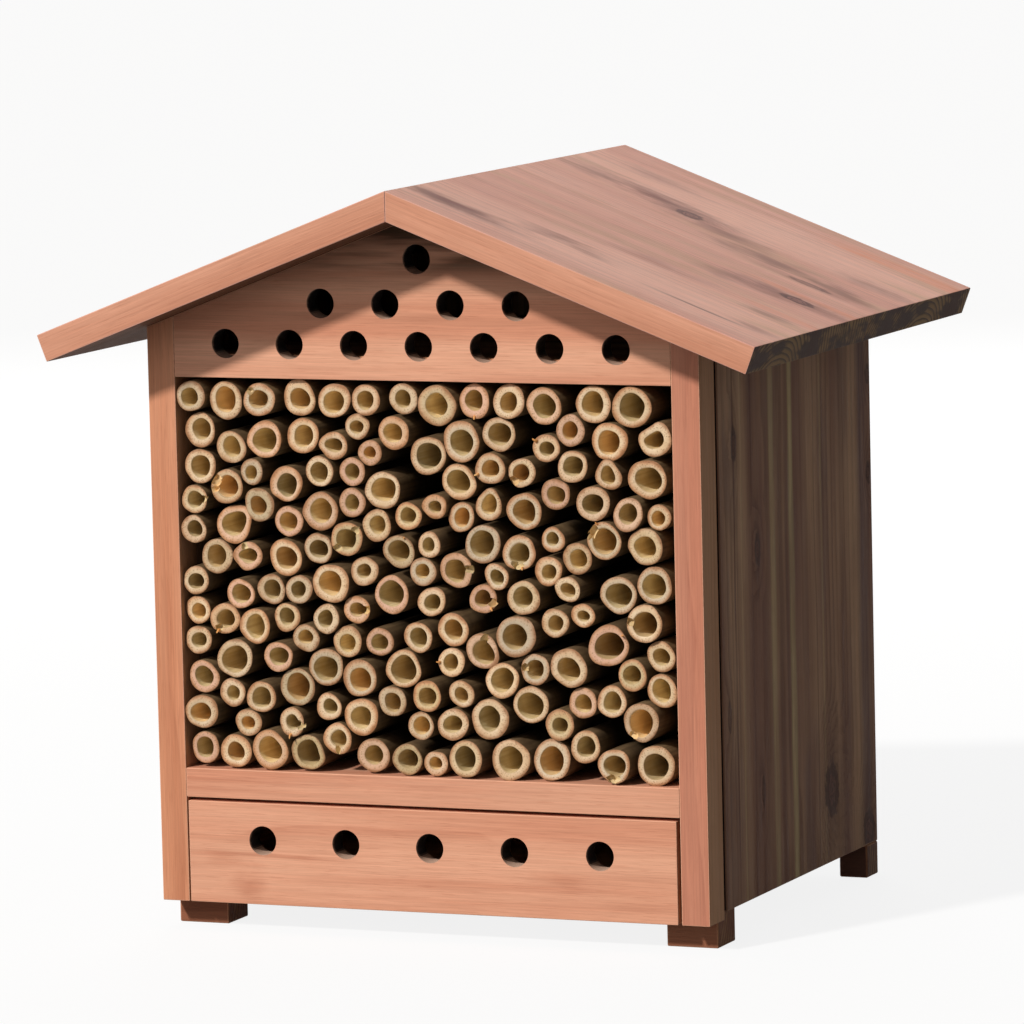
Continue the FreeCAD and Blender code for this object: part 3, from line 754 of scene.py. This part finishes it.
# Painted shade: dark streaks across the top of the gable, strongest near the apex under the roof
gable_painted_shade = on_screen(80, 60, 45)
gable_shade_streaks = ((-294, 40, gable_painted_shade, 1.0), (-276, 8, gable_painted_shade, 0.2), (-262, 6, gable_painted_shade, 0.12))
gable_cedar = cedar("gable_cedar", ACROSS_THE_FRONT, (35, 262, 240), front_pale, front_deep, front_late,
                    streaks=gable_shade_streaks)
low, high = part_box("gable_front")
gable_bore = painted_shade_bore("gable_bore", low.y)
gable = sawn_board("gable_front_board", low, high, gable_cedar, front_edge)
bevel_to_roof(gable, -1)
bevel_to_roof(gable, 1)
ease_arrises(gable, FRONT_ARRIS)
bore_depth = high.y - low.y + BREAK_THROUGH
for count, height in gable_rows:
    for number in range(count):
        across = (number - (count - 1) / 2) * GABLE_SPACING
        entry = Vector((across, low.y, low.z + height))
        cut_away(gable, drill(entry, (0, 1, 0), ENTRY_BORE / 2, bore_depth, gable_bore))
place_piece(gable, "case", "cedar_front", "gable_front")


# Roof
# Each slope is two planed cedar boards glued edge to edge, with the grain running down the slope.
# The slopes are mitred where they meet at the ridge, and the eaves show dark end grain.

# The roof faces' cedar is paler than the front's: partly weathered tone and partly painted sheen on the
# slopes
roof_pale = on_screen(244, 191, 171)
roof_deep = on_screen(226, 168, 150)
roof_late = on_screen(136, 94, 87)
smoke = on_screen(124, 88, 84)
olive = on_screen(213, 171, 143)
rust = on_screen(233, 158, 127)
# The undersides take a darker cedar: painted shade under the roof
roof_shade_colours = (on_screen(118, 84, 64), on_screen(98, 68, 52), on_screen(70, 48, 38))
ROOF_ARRIS = 0.35 * MM
ROOF_FACE, ROOF_SAWN, ROOF_PAINTED_SHADE = range(3)
# For each board: streaks, knots and hazes
roof_marks = {
    "right_front": (
        ((-92, 18, olive, 0.8, 40, 110), (-60, 12, rust, 0.5, 20, 150), (-46, 24, olive, 0.8, 90, 165),
         (-14, 10, rust, 0.6, 10, 120), (-120, 9, olive, 0.7, 60, 165), (-107, 4, smoke, 0.7, 4, 40)),
        (((139, -24, 264), 4.0, 1.8, 1.0),),
        (((24, -107, 309), 8, 2.6, 0.9), ((12, -108, 314), 5, 2.4, 0.7), ((59, -88, 295), 5, 2.6, 0.75),
         ((72, -92, 290), 4, 3.0, 0.5), ((118, -30, 272), 8, 2.4, 0.6), ((144, -70, 263), 4, 2.4, 0.6),
         ((150, -102, 260), 5, 2.0, 0.5), ((90, -60, 283), 5, 4.0, 0.35)),
    ),
    "right_back": (
        ((76, 14, olive, 0.7, 40, 165), (114, 26, rust, 0.8, 0, 165), (22, 18, olive, 0.6, 10, 90)),
        (((63, 50, 294), 4.6, 1.2, 0.9), ((131, 13, 267), 2.6, 3.4, 0.6)),
        (((42, 59, 302), 8, 2.4, 0.75), ((54, 57, 297), 7, 2.2, 0.6), ((84, 42, 286), 7, 2.6, 0.7),
         ((113, 27, 275), 7, 3.2, 0.75), ((142, 22, 263), 6, 2.4, 0.7), ((147, 58, 262), 7, 2.2, 0.6),
         ((14, 58, 312), 8, 2.4, 0.45), ((30, 96, 306), 6, 3.0, 0.35)),
    ),
    "left_front": (
        ((-30, 12, rust, 0.5), (-110, 20, olive, 0.7), (-52, 5, smoke, 0.5, -90, -20)),
        (((-84, -72, 286), 4.4, 1.3, 0.9),),
        (((-60, -66, 295), 8, 2.6, 0.7), ((-112, -80, 275), 7, 2.4, 0.7), ((-40, -24, 302), 6, 2.6, 0.6),
         ((-140, -36, 264), 7, 2.4, 0.6)),
    ),
    "left_back": (
        ((96, 16, rust, 0.5), (70, 20, olive, 0.7), (82, 5, smoke, 0.5, -120, -20)),
        (((-46, 78, 300), 3.4, 1.5, 0.9), ((-128, 36, 268), 4.2, 1.4, 0.9)),
        (((-70, 74, 291), 8, 2.6, 0.7), ((-104, 40, 278), 7, 2.6, 0.7), ((-24, 112, 308), 6, 2.4, 0.6)),
    ),
}
for hand, sign in (("left", -1), ("right", 1)):
    slope_turn = (0.0, -sign * ROOF_PITCH, 0.0)
    roof_sawn = cedar(f"{hand}_roof_sawn_edge", slope_turn, (0, 40, 300), on_screen(226, 166, 138),
                      on_screen(206, 144, 116), on_screen(172, 106, 80), ring_gap=2.0, ring_show=0.2)
    roof_painted_shade_cedar = cedar(f"{hand}_roof_painted_shade_underside", slope_turn, (0, 60, -262), *roof_shade_colours, bands_per_metre=44)
    for end in ("front", "back"):
        node = f"{hand}_{end}_roof_board"
        low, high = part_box(node)
        half_span = high.x if sign > 0 else -low.x
        streaks, knots, hazes = roof_marks[f"{hand}_{end}"]
        pith = (sign * 30, 100 if end == "front" else -76, -262)
        board_cedar = cedar(f"{node}_cedar", slope_turn, pith, roof_pale, roof_deep, roof_late, ring_gap=2.7,
                            ring_show=0.2, bands_per_metre=44, smudge=olive, smudge_show=0.6, streaks=streaks,
                            knots=knots, hazes=hazes, end_grain=0.95)
        slope_length = half_span / math.cos(ROOF_PITCH)
        spare = 2 * ROOF_THICKNESS
        half = Vector((slope_length + spare, high.y - low.y, ROOF_THICKNESS)) / 2
        roof_board = sawn_board(f"{node}_plank", -half, half, board_cedar, roof_sawn, roof_painted_shade_cedar)
        # Faces across the board get the sawn edge, and downward faces the painted shade
        for face in roof_board.data.polygons:
            if abs(face.normal.y) > 0.5:
                face.material_index = ROOF_SAWN
            elif face.normal.z < -0.5:
                face.material_index = ROOF_PAINTED_SHADE
        from_ridge = (sign * (slope_length - spare) / 2, 0, -ROOF_THICKNESS / 2)
        ridge_place = (0, (low.y + high.y) / 2, high.z)
        roof_board.data.transform(Matrix.Translation(from_ridge))
        roof_board.data.transform(Matrix.Rotation(sign * ROOF_PITCH, 4, "Y"))
        roof_board.data.transform(Matrix.Translation(ridge_place))
        saw_off(roof_board, (0, 0, high.z), (-sign, 0, 0))
        ease_arrises(roof_board, ROOF_ARRIS, ROOF_FACE)
        place_piece(roof_board, "case", "cedar_roof", node)


# Bamboo canes
# Some 150 hollow canes of mixed thickness, sawn to one length, pushed in by hand and glued at the back.
# No two are alike: walls are lopsided, cuts are a little askew, and some ends are split or have burrs.

BAY_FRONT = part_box("gable_front")[0].y + 1.5 * MM
# How far from the front the painted shade in the skin and bore reaches
PAINTED_SHADE_REACH = 24 * MM


def bamboo(name, pale, tan, tint, wall=False, painted_deep_shade=1.0, ripe=None):
    """Dry bamboo. A cut wall differs in tone from cane to cane. Skin and bore have fibres along the
    cane, and darken with depth from the front to a share of their colour, which is painted shade.
    With a ripe colour, some canes tend to it, and some are lighter than others."""
    material, tree = new_material(name)
    place = add_node(tree, "TexCoord", {}).outputs["Object"]
    patches = cloud(tree, place, (130, 130, 130), 3)
    colour = blend_colours(tree, rise(tree, patches, 0.3, 0.7), pale, tan)
    if wall:
        share = add_node(tree, "Attribute", {}, attribute_name="wall_share").outputs["Fac"]
        tone = add_node(tree, "Attribute", {}, attribute_name="cane_tone").outputs["Fac"]
        way = add_node(tree, "Attribute", {}, attribute_name="cane_way").outputs["Vector"]
        # Each cane has a tone of its own, and some tend to olive
        for first, last, strength, own_colour in (
            (0.6, 0.9, 0.8, on_screen(222, 173, 148)),
            (0.25, 0.0, 0.8, on_screen(210, 194, 168)),
        ):
            colour = blend_colours(tree, rise(tree, tone, first, last, 0.0, strength), colour, own_colour)
        cane_only = vector_figure(tree, "MULTIPLY", way, (0, 1, 0))[0]
        olive_share = rise(tree, cloud(tree, cane_only, (3, 3, 3)), 0.5, 0.7, 0.0, 0.6)
        colour = blend_colours(tree, olive_share, colour, on_screen(200, 176, 118))
        # The wall gets warmer and darker outwards, unevenly round the cane, and dull at the inner lip
        lopsided = cloud(tree, way, (1.5, 1.5, 1.5), 3)
        edge = figure(tree, "MULTIPLY_ADD", lopsided, 0.8, figure(tree, "SUBTRACT", share, 0.4))
        own_warmth = rise(tree, cloud(tree, cane_only, (2, 2, 2)), 0.35, 0.65, 0.25, 1.0)
        warm = figure(tree, "MULTIPLY", own_warmth, rise(tree, edge, 0.1, 0.9))
        colour = blend_colours(tree, warm, colour, tint)
        outer_rim = rise(tree, edge, 0.55, 1.0, 0.0, 0.85)
        colour = blend_colours(tree, outer_rim, colour, on_screen(152, 102, 66))
        inner_lip = rise(tree, share, 0.14, 0.0, 0.0, 0.55)
        colour = blend_colours(tree, inner_lip, colour, on_screen(160, 126, 82))
        # Saw lines, and the dark ends of the fibre bundles
        saw_lines = rise(tree, cloud(tree, way, (22, 22, 22), 3), 0.42, 0.7, 0.0, 0.24)
        colour = blend_colours(tree, saw_lines, colour, on_screen(164, 124, 84))
        bundles = add_node(tree, "TexVoronoi", {"Vector": place, "Scale": 1100.0}).outputs["Distance"]
        height = rise(tree, bundles, 0.4, 0.15)
        crowd = figure(tree, "MULTIPLY", height, rise(tree, share, 0.0, 0.9, 0.25, 0.8))
        colour = blend_colours(tree, crowd, colour, on_screen(136, 96, 62))
        level = rise(tree, cloud(tree, cane_only, (1, 1, 1)), 0.3, 0.7, 0.82, 1.1)
        colour = blend_colours(tree, 1.0, colour, level, "MULTIPLY")
    else:
        height = cloud(tree, place, (800, 16, 800), 3)
        colour = blend_colours(tree, rise(tree, height, 0.35, 0.7, 0.0, 0.6), colour, tint)
        if ripe:
            way = add_node(tree, "Attribute", {}, attribute_name="cane_way").outputs["Vector"]
            cane_only = vector_figure(tree, "MULTIPLY", way, (0, 1, 0))[0]
            ripeness = rise(tree, cloud(tree, cane_only, (2.3, 2.3, 2.3)), 0.42, 0.75, 0.0, 0.8)
            colour = blend_colours(tree, ripeness, colour, ripe)
            level = rise(tree, cloud(tree, cane_only, (1.4, 1.4, 1.4)), 0.3, 0.7, 0.75, 1.2)
            colour = blend_colours(tree, 1.0, colour, level, "MULTIPLY")
        inward = vector_figure(tree, "DOT_PRODUCT", place, (0, 1, 0))["Value"]
        # Painted shade: the colour darkens with depth from the front
        shade = rise(tree, inward, BAY_FRONT, BAY_FRONT + PAINTED_SHADE_REACH, 1.0, painted_deep_shade)
        colour = blend_colours(tree, 1.0, colour, shade, "MULTIPLY")
    roughness = rise(tree, patches, 0.3, 0.7, 0.45, 0.65)
    bumps = relief(tree, height, 0.3, 0.15 * MM)
    finish_surface(tree, colour, roughness, bumps, {"Specular IOR Level": 0.2})
    return material


# The skin's colours are dark, partly its own tone and partly painted shade between the canes
skin_colours = (on_screen(130, 106, 76), on_screen(106, 84, 60), on_screen(80, 62, 44))
bore_colours = (on_screen(232, 212, 168), on_screen(220, 196, 148), on_screen(198, 170, 120))
cut_colours = (on_screen(238, 213, 178), on_screen(226, 195, 155), on_screen(208, 152, 110))
burr_colours = (on_screen(240, 190, 128), on_screen(232, 158, 86), on_screen(206, 128, 62))
ripe_bore = on_screen(226, 182, 126)
cane_materials = (
    bamboo("bamboo_skin", *skin_colours, painted_deep_shade=0.18),
    bamboo("bamboo_bore", *bore_colours, painted_deep_shade=0.95, ripe=ripe_bore),
    bamboo("bamboo_cut_end", *cut_colours, wall=True),
    bamboo("bamboo_burr", *burr_colours),
)
# Places of the materials in that list
SKIN, BORE, CUT, BURR = range(4)
CANE_SIDES = 30
# How canes differ: share of the CAD's radius, stretch of the bore, how far a cut stands out in mm, how far
# the bore lies off the middle as a share of the wall, and how askew a cut is in degrees
CANE_SHARE = 0.985
BORE_STRETCH = (0.92, 1.08)
CUT_PROUD = (0.5, 1.3)
BORE_DRIFT = 0.16
CUT_ASKEW = 5
RIM_ARRIS = 0.35 * MM
RIM_EDGE = math.radians(50)
chance = random.Random(12)

# Bites out of the rims: place across and up in mm, direction in degrees, width and depth in mm
bites = (
    (-71, 227, 138, 3.4, 4.0), (-88, 190, 148, 5.6, 4.4), (-88, 190, 190, 3.0, 3.0), (-105, 184, 4, 3.4, 4.4),
    (-32, 170, 222, 3.6, 3.4), (-32, 170, 42, 4.6, 2.8), (-79, 162, 112, 3.4, 2.6), (48, 199, 222, 4.4, 3.4),
    (84, 173, 150, 7.2, 5.4), (45, 166, 262, 5.4, 3.0), (17, 160, 8, 4.2, 4.0), (-91, 134, 236, 3.6, 3.2),
    (-30, 140, -4, 4.4, 4.6), (-60, 92, -12, 3.8, 4.0), (27, 147, -20, 4.4, 4.6), (27, 124, 74, 3.6, 3.6),
    (50, 118, 172, 3.6, 3.4), (98, 99, 238, 3.8, 3.0), (85, 76, 266, 6.4, 3.2), (101, 139, 170, 3.4, 3.2),
    (-40, 84, 268, 3.2, 2.6),
)
# Burrs left by the saw: place, direction, length and girth in mm
burrs = (
    (59, 210, 142, 2.4, 1.7), (35, 201, 200, 2.2, 1.5), (27, 228, 268, 1.8, 1.6), (-60, 92, 266, 2.8, 1.4),
    (84, 173, 112, 2.0, 1.3), (-6, 215, 2, 2.6, 0.9), (-91, 134, 240, 2.4, 1.5), (14, 119, 178, 2.0, 1.4),
    (45, 166, 280, 1.8, 1.3), (27, 147, -44, 2.2, 1.4), (85, 126, 36, 1.8, 1.2), (-10, 164, 64, 2.0, 0.9),
)
# Canes with a dented or pointed wall: place, direction, and how far it is pushed out in mm
dents = (
    (106, 216, 120, -1.6), (33, 185, 80, 1.5), (86, 199, 95, 1.4), (26, 124, -35, 1.4),
    (-86, 174, 40, 1.2), (-37, 209, 178, 1.3), (67, 151, 150, 1.4), (-79, 162, 180, 1.4),
    (19, 158, -10, -1.2), (-54, 78, 20, -1.2),
)


def select_points(cane, chosen):
    """Selects some points of a cane in edit mode."""
    bpy.ops.object.mode_set(mode="EDIT")
    bpy.ops.mesh.select_mode(type="VERT")
    bpy.ops.mesh.select_all(action="DESELECT")
    leave_edit()
    cane.data.vertices.foreach_set("select", chosen)
    bpy.ops.object.mode_set(mode="EDIT")


def way_out_at(heading):
    """The direction out from a cane's axis, at so many degrees from the right."""
    angle = math.radians(heading)
    return Vector((math.cos(angle), 0, math.sin(angle)))


TONE_SPREAD = 40


def mark_wall(cane, middle, share, own_tone):
    """Notes at each point its share of the wall from bore to skin, the cane's tone, and its way out.
    The way out has a number of the cane's own along the cane, so that noise differs from cane to cane."""
    shape = np.array([point.co for point in cane.data.vertices]) - np.array(middle)
    from_axis = np.hypot(shape[:, 0], shape[:, 2])
    tone = np.full(len(shape), own_tone)
    way_out = np.stack((shape[:, 0] / from_axis, TONE_SPREAD * tone, shape[:, 2] / from_axis), 1)
    notes = (
        ("wall_share", "FLOAT", "value", share),
        ("cane_tone", "FLOAT", "value", tone),
        ("cane_way", "FLOAT_VECTOR", "vector", way_out),
    )
    for name, kind, field, values in notes:
        if name not in cane.data.attributes:
            cane.data.attributes.new(name, kind, "POINT")
        cane.data.attributes[name].data.foreach_set(field, values.astype(np.float32).ravel())


def cut_cane(points):
    """One cane where the CAD has it: a tube with a lopsided bore and a cut that is a little askew."""
    low, high = points.min(0), points.max(0)
    across, up = (low[0] + high[0]) / 2, (low[2] + high[2]) / 2
    outer = (high[0] - low[0]) / 2
    from_axis = np.hypot(points[:, 0] - across, points[:, 2] - up)
    bore = from_axis.min() * chance.uniform(*BORE_STRETCH)
    front, back = low[1] - chance.uniform(*CUT_PROUD) * MM, high[1]
    clear_selection()
    bpy.ops.mesh.primitive_cylinder_add(vertices=CANE_SIDES, radius=outer * CANE_SHARE, depth=back - front,
                                        end_fill_type="NOTHING", location=(across, (front + back) / 2, up),
                                        rotation=(QUARTER, chance.uniform(0, math.tau), 0))
    cane = bpy.context.object
    apply_place()
    add_materials(cane, cane_materials)
    apply_modifier(cane, "SOLIDIFY", thickness=outer - bore, offset=-1, material_offset=BORE,
                   material_offset_rim=CUT)
    shape = np.array([point.co for point in cane.data.vertices])
    from_axis = np.hypot(shape[:, 0] - across, shape[:, 2] - up)
    inner = from_axis < (outer + bore) / 2
    own_tone = chance.random()
    middle = Vector((across, front, up))
    mark_wall(cane, middle, np.where(inner, 0.0, 1.0), own_tone)
    slack = BORE_DRIFT * (outer - bore)
    select_points(cane, inner)
    off_middle = (chance.uniform(-slack, slack), 0, chance.uniform(-slack, slack))
    bpy.ops.transform.translate(value=off_middle)
    oval = (chance.uniform(*BORE_STRETCH), 1, chance.uniform(*BORE_STRETCH))
    bpy.ops.transform.resize(value=oval, center_override=middle)
    leave_edit()
    select_points(cane, shape[:, 1] < (front + back) / 2)
    for axis in ("X", "Z"):
        askew = math.radians(chance.uniform(-CUT_ASKEW, CUT_ASKEW))
        bpy.ops.transform.rotate(value=askew, orient_axis=axis, center_override=middle)
    leave_edit()
    for place_x, place_z, heading, push in dents:
        if math.hypot(place_x * MM - across, place_z * MM - up) < outer:
            out = way_out_at(heading)
            towards = (shape[:, 0] - across) * out.x + (shape[:, 2] - up) * out.z
            select_points(cane, towards > 0.97 * from_axis)
            bpy.ops.transform.translate(value=push * MM * out, use_proportional_edit=True,
                                        proportional_edit_falloff="SMOOTH", proportional_size=0.7 * outer)
            leave_edit()
    apply_modifier(cane, "BEVEL", width=RIM_ARRIS, segments=2, limit_method="ANGLE", angle_limit=RIM_EDGE)
    return cane, middle, outer, bore, own_tone


# Where in the wall a scoop's middle lies, and how far it reaches as a share of the wall and of its depth
SCOOP_IN_WALL = 0.25
SCOOP_REACH = 0.8


def bite_rim(cane, middle, outer, bore, own_tone, heading, width, depth):
    """Breaks a ragged scoop out of a cane's rim, from the bore outwards and just through the skin."""
    clear_selection()
    out = way_out_at(heading)
    inward = Vector((0, 1, 0))
    wall = outer - bore
    bpy.ops.mesh.primitive_ico_sphere_add(subdivisions=2, radius=1)
    scoop = bpy.context.object
    edit_all()
    bpy.ops.transform.vertex_random(offset=0.2, uniform=0.8, normal=0.5, seed=int(heading) % 360)
    leave_edit()
    turned = Matrix((out, inward.cross(out), inward)).transposed().to_4x4()
    scoop.matrix_world = Matrix.Translation(middle + out * (bore + SCOOP_IN_WALL * wall)) @ turned
    scoop.scale = (SCOOP_REACH * wall, width / 2, SCOOP_REACH * depth)
    apply_place()
    add_materials(scoop, cane_materials)
    for face in scoop.data.polygons:
        face.material_index = BORE
    cut_away(cane, scoop, "INDEX")
    shape = np.array([point.co for point in cane.data.vertices])
    from_axis = np.hypot(shape[:, 0] - middle.x, shape[:, 2] - middle.z)
    mark_wall(cane, middle, np.clip((from_axis - bore) / wall, 0, 1), own_tone)


def burr_on(middle, radius, heading, length, girth):
    """A curl of fibre that the saw left on a rim: a thin stalk, bent and drawn out as it grows."""
    clear_selection()
    out = way_out_at(heading)
    root = middle + out * radius
    bpy.ops.mesh.primitive_circle_add(vertices=7, radius=girth / 2, fill_type="NGON", location=root,
                                      rotation=(QUARTER, 0, 0))
    burr = bpy.context.object
    apply_place()
    add_materials(burr, cane_materials)
    burr.data.polygons[0].material_index = BURR
    edit_all()
    steps = 4
    for step in range(steps):
        lean = out * (step + 0.5) / steps + Vector((0, -1, 0)) * (1 - step / steps)
        bpy.ops.mesh.extrude_region_move(TRANSFORM_OT_translate={"value": lean * length / steps})
        bpy.ops.transform.resize(value=(0.8, 0.8, 0.8))
    bpy.ops.mesh.select_all(action="SELECT")
    bpy.ops.mesh.normals_make_consistent(inside=False)
    leave_edit()
    return burr


# Unevenness of the canes: direction, size of a lump and how far it goes
unevenness = (
    ("X", 13 * MM, 1.5 * MM),
    ("Z", 13 * MM, 1.5 * MM),
    ("X", 5 * MM, 0.5 * MM),
    ("Z", 5 * MM, 0.5 * MM),
)
lump_textures = []
for number, (direction, lump_size, strength) in enumerate(unevenness):
    lumps = bpy.data.textures.new(f"cane_lumps_{number}", "CLOUDS")
    lumps.noise_scale = lump_size
    lumps.noise_depth = 0
    lump_textures.append(lumps)


def is_at(place_x, place_z, middle, outer):
    """Whether a place in mm falls on a cane."""
    return math.hypot(place_x * MM - middle.x, place_z * MM - middle.z) < 0.75 * outer


cane_rows = sorted(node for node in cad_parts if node.startswith("cane_row_"))
for row in cane_rows:
    pieces = []
    for points in solids_of(row):
        cane, middle, outer, bore, own_tone = cut_cane(points)
        for place_x, place_z, heading, width, depth in bites:
            if is_at(place_x, place_z, middle, outer):
                bite_rim(cane, middle, outer, bore, own_tone, heading, width * MM, depth * MM)
        on_wall = 0.35 * bore + 0.65 * outer
        for place_x, place_z, heading, length, girth in burrs:
            if is_at(place_x, place_z, middle, outer):
                pieces.append(burr_on(middle, on_wall, heading, length * MM, girth * MM))
        pieces.append(cane)
    bundle = join_pieces(f"bamboo_{row}", pieces)
    for lumps, (direction, lump_size, strength) in zip(lump_textures, unevenness):
        apply_modifier(bundle, "DISPLACE", texture=lumps, direction=direction, strength=strength,
                       mid_level=0.5, texture_coords="LOCAL")
    make_active(bundle)
    bpy.ops.object.shade_smooth_by_angle(angle=math.radians(35))
    place_piece(bundle, "case", "bamboo_cane", row)


# Drawer box
# Two cedar sides and a back, nailed with steel brads round a thin plywood bottom.
# It is raw inside and out, and slides on the base board behind the drawer front.

DRAWER_BOX_ARRIS = 0.3 * MM
SHEET_ARRIS = 0.2 * MM
FRONT_TO_BACK = (0.0, 0.0, QUARTER)
for number, node in enumerate(("left_drawer_side", "right_drawer_side", "drawer_back")):
    turn = LYING_FLAT if node == "drawer_back" else FRONT_TO_BACK
    pith = (50 * number, 130 + 20 * number, 30)
    box_cedar = cedar(f"{node}_cedar", turn, pith, raw_pale, raw_deep, raw_late)
    side = eased_copy(f"{node}_board", node, DRAWER_BOX_ARRIS, box_cedar, box_cedar)
    place_piece(side, "drawer", "cedar_inside", node)
ply = cedar("thin_plywood", LYING_FLAT, (0, 20, -900), on_screen(222, 190, 146), on_screen(206, 170, 124),
            on_screen(176, 136, 92), ring_gap=7)
bottom = eased_copy("drawer_bottom_sheet", "drawer_bottom", SHEET_ARRIS, ply, ply)
place_piece(bottom, "drawer", "thin_plywood", "drawer_bottom")
finish_node("drawer_brads", zinc_steel("brad_steel"))


# Drawer front
# A cedar board with level grain and a few soft dark patches, bored with five entry holes.
# It is glued and nailed to the box, with a wider gap on its right so that it slides freely.

DRAWER_SPACING = 38.5 * MM
DRAWER_HOLE_RISE = 27.5 * MM
DRAWER_HOLES = 5
low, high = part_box("drawer_front")
drawer_streaks = ((-32.5, 3, front_late, 0.5, -112, -50), (-24, 5, front_late, 0.2, -40, 110))
drawer_hazes = (
    ((-84, -102.5, 20), 5, 1.2, 0.55),
    ((-97, -102.5, 31), 3, 3.0, 0.4),
    ((60, -102.5, 28), 4, 2.5, 0.35),
)
drawer_cedar = cedar("drawer_cedar", ACROSS_THE_FRONT, (120, 30, 220), front_pale, front_deep, front_late,
                     streaks=drawer_streaks, hazes=drawer_hazes)
# The holes' walls take the same painted shade, and painted light along the bottom
drawer_bore = painted_shade_bore("drawer_bore", low.y)
drawer_board = sawn_board("drawer_front_board", low, high, drawer_cedar, front_edge)
ease_arrises(drawer_board, FRONT_ARRIS)
bore_depth = high.y - low.y + BREAK_THROUGH
for number in range(DRAWER_HOLES):
    across = (low.x + high.x) / 2 + (number - (DRAWER_HOLES - 1) / 2) * DRAWER_SPACING
    entry = Vector((across, low.y, low.z + DRAWER_HOLE_RISE))
    cut_away(drawer_board, drill(entry, (0, 1, 0), ENTRY_BORE / 2, bore_depth, drawer_bore))
place_piece(drawer_board, "drawer", "cedar_front", "drawer_front")


# Floor, light and camera
# A pale studio floor, a key light from the upper left front, and soft lights in front and behind.
# The camera stands to the right of the front and a little above it.

def seen_rays(tree):
    """1 for rays by which the background is seen, directly, in gloss or through glass, and 0 for others."""
    rays = add_node(tree, "LightPath", {}).outputs
    seen = figure(tree, "MAXIMUM", rays["Is Camera Ray"], rays["Is Glossy Ray"])
    return figure(tree, "MAXIMUM", seen, rays["Is Transmission Ray"])


FLOOR_RADIUS = 14
FLOOR_GLOW = 0.86
FILL_STRENGTH = 0.13
pure_white = (1, 1, 1, 1)
floor_grey = (0.22, 0.22, 0.22, 1)
clear_selection()
bpy.ops.mesh.primitive_circle_add(vertices=64, radius=FLOOR_RADIUS, fill_type="NGON", location=(0, 0, 0))
floor = bpy.context.object
floor.name = "studio_floor"
floor_paint, tree = new_material("pale_floor")
tree.nodes.clear()
bounce = add_node(tree, "BsdfDiffuse", {"Color": floor_grey}).outputs[0]
white = add_node(tree, "BsdfDiffuse", {"Color": pure_white}).outputs[0]
glow = add_node(tree, "Emission", {"Color": pure_white, "Strength": 1.0}).outputs[0]
bright = add_node(tree, "MixShader", {0: FLOOR_GLOW, 1: white, 2: glow}).outputs[0]
floor_look = add_node(tree, "MixShader", {0: seen_rays(tree), 1: bounce, 2: bright}).outputs[0]
add_node(tree, "OutputMaterial", {"Surface": floor_look})
add_materials(floor, [floor_paint])

studio = bpy.data.worlds.new("studio")
bpy.context.scene.world = studio
studio.use_nodes = True
tree = studio.node_tree
tree.nodes.clear()
warm_white = (1.0, 0.98, 0.96, 1)
fill = add_node(tree, "Background", {"Color": warm_white, "Strength": FILL_STRENGTH}).outputs[0]
backdrop = add_node(tree, "Background", {"Color": pure_white, "Strength": 1.0}).outputs[0]
sky = add_node(tree, "MixShader", {0: seen_rays(tree), 1: fill, 2: backdrop}).outputs[0]
add_node(tree, "OutputWorld", {"Surface": sky})

SUN_HEADING = Vector((0.335, 0.728, -0.597))
SUN_STRENGTH = 2.85
SUN_WIDTH = math.radians(4.5)
clear_selection()
bpy.ops.object.light_add(type="SUN", location=(-1.2, -1.4, 1.4))
sun = bpy.context.object
sun.name = "key_light"
sun.rotation_euler = SUN_HEADING.to_track_quat("-Z", "Y").to_euler()
sun.data.energy = SUN_STRENGTH
sun.data.angle = SUN_WIDTH
sun.data.color = (1.0, 0.97, 0.93)

SOFT_LIGHT_SIZE = 1.6
# Place and strength of the soft lights
soft_lights = {
    "soft_light_behind": (Vector((-0.6, 1.9, 1.2)), 18),
    "soft_light_in_front": (Vector((-1.0, -2.2, 0.6)), 11.5),
}
for name, (place, energy) in soft_lights.items():
    clear_selection()
    bpy.ops.object.light_add(type="AREA", location=place)
    soft_light = bpy.context.object
    soft_light.name = name
    soft_light.rotation_euler = (-place).to_track_quat("-Z", "Y").to_euler()
    soft_light.data.size = SOFT_LIGHT_SIZE
    soft_light.data.energy = energy

AZIMUTH = math.radians(22.807)
ELEVATION = math.radians(6.818)
ROLL = math.radians(-1.34)
CAMERA_DISTANCE = 3.094
SENSOR_WIDTH = 36
LENS = 251.03
FAR_LIMIT = 60
AIM_RIGHT = -6.29 * MM
AIM_UP = 167.77 * MM
level_away = Vector((math.sin(AZIMUTH), -math.cos(AZIMUTH), 0))
towards_camera = math.cos(ELEVATION) * level_away + Vector((0, 0, math.sin(ELEVATION)))
level_right = Vector((math.cos(AZIMUTH), math.sin(AZIMUTH), 0))
level_up = towards_camera.cross(level_right)
picture_right = math.cos(ROLL) * level_right + math.sin(ROLL) * level_up
picture_up = math.cos(ROLL) * level_up - math.sin(ROLL) * level_right
clear_selection()
bpy.ops.object.camera_add()
camera = bpy.context.object
camera_turn = Matrix((picture_right, picture_up, towards_camera)).transposed().to_4x4()
camera_place = AIM_RIGHT * picture_right + AIM_UP * picture_up + CAMERA_DISTANCE * towards_camera
camera.matrix_world = Matrix.Translation(camera_place) @ camera_turn
camera.data.sensor_width = SENSOR_WIDTH
camera.data.lens = LENS
camera.data.clip_end = FAR_LIMIT
bpy.context.scene.camera = camera
bpy.context.scene.view_settings.view_transform = "Standard"
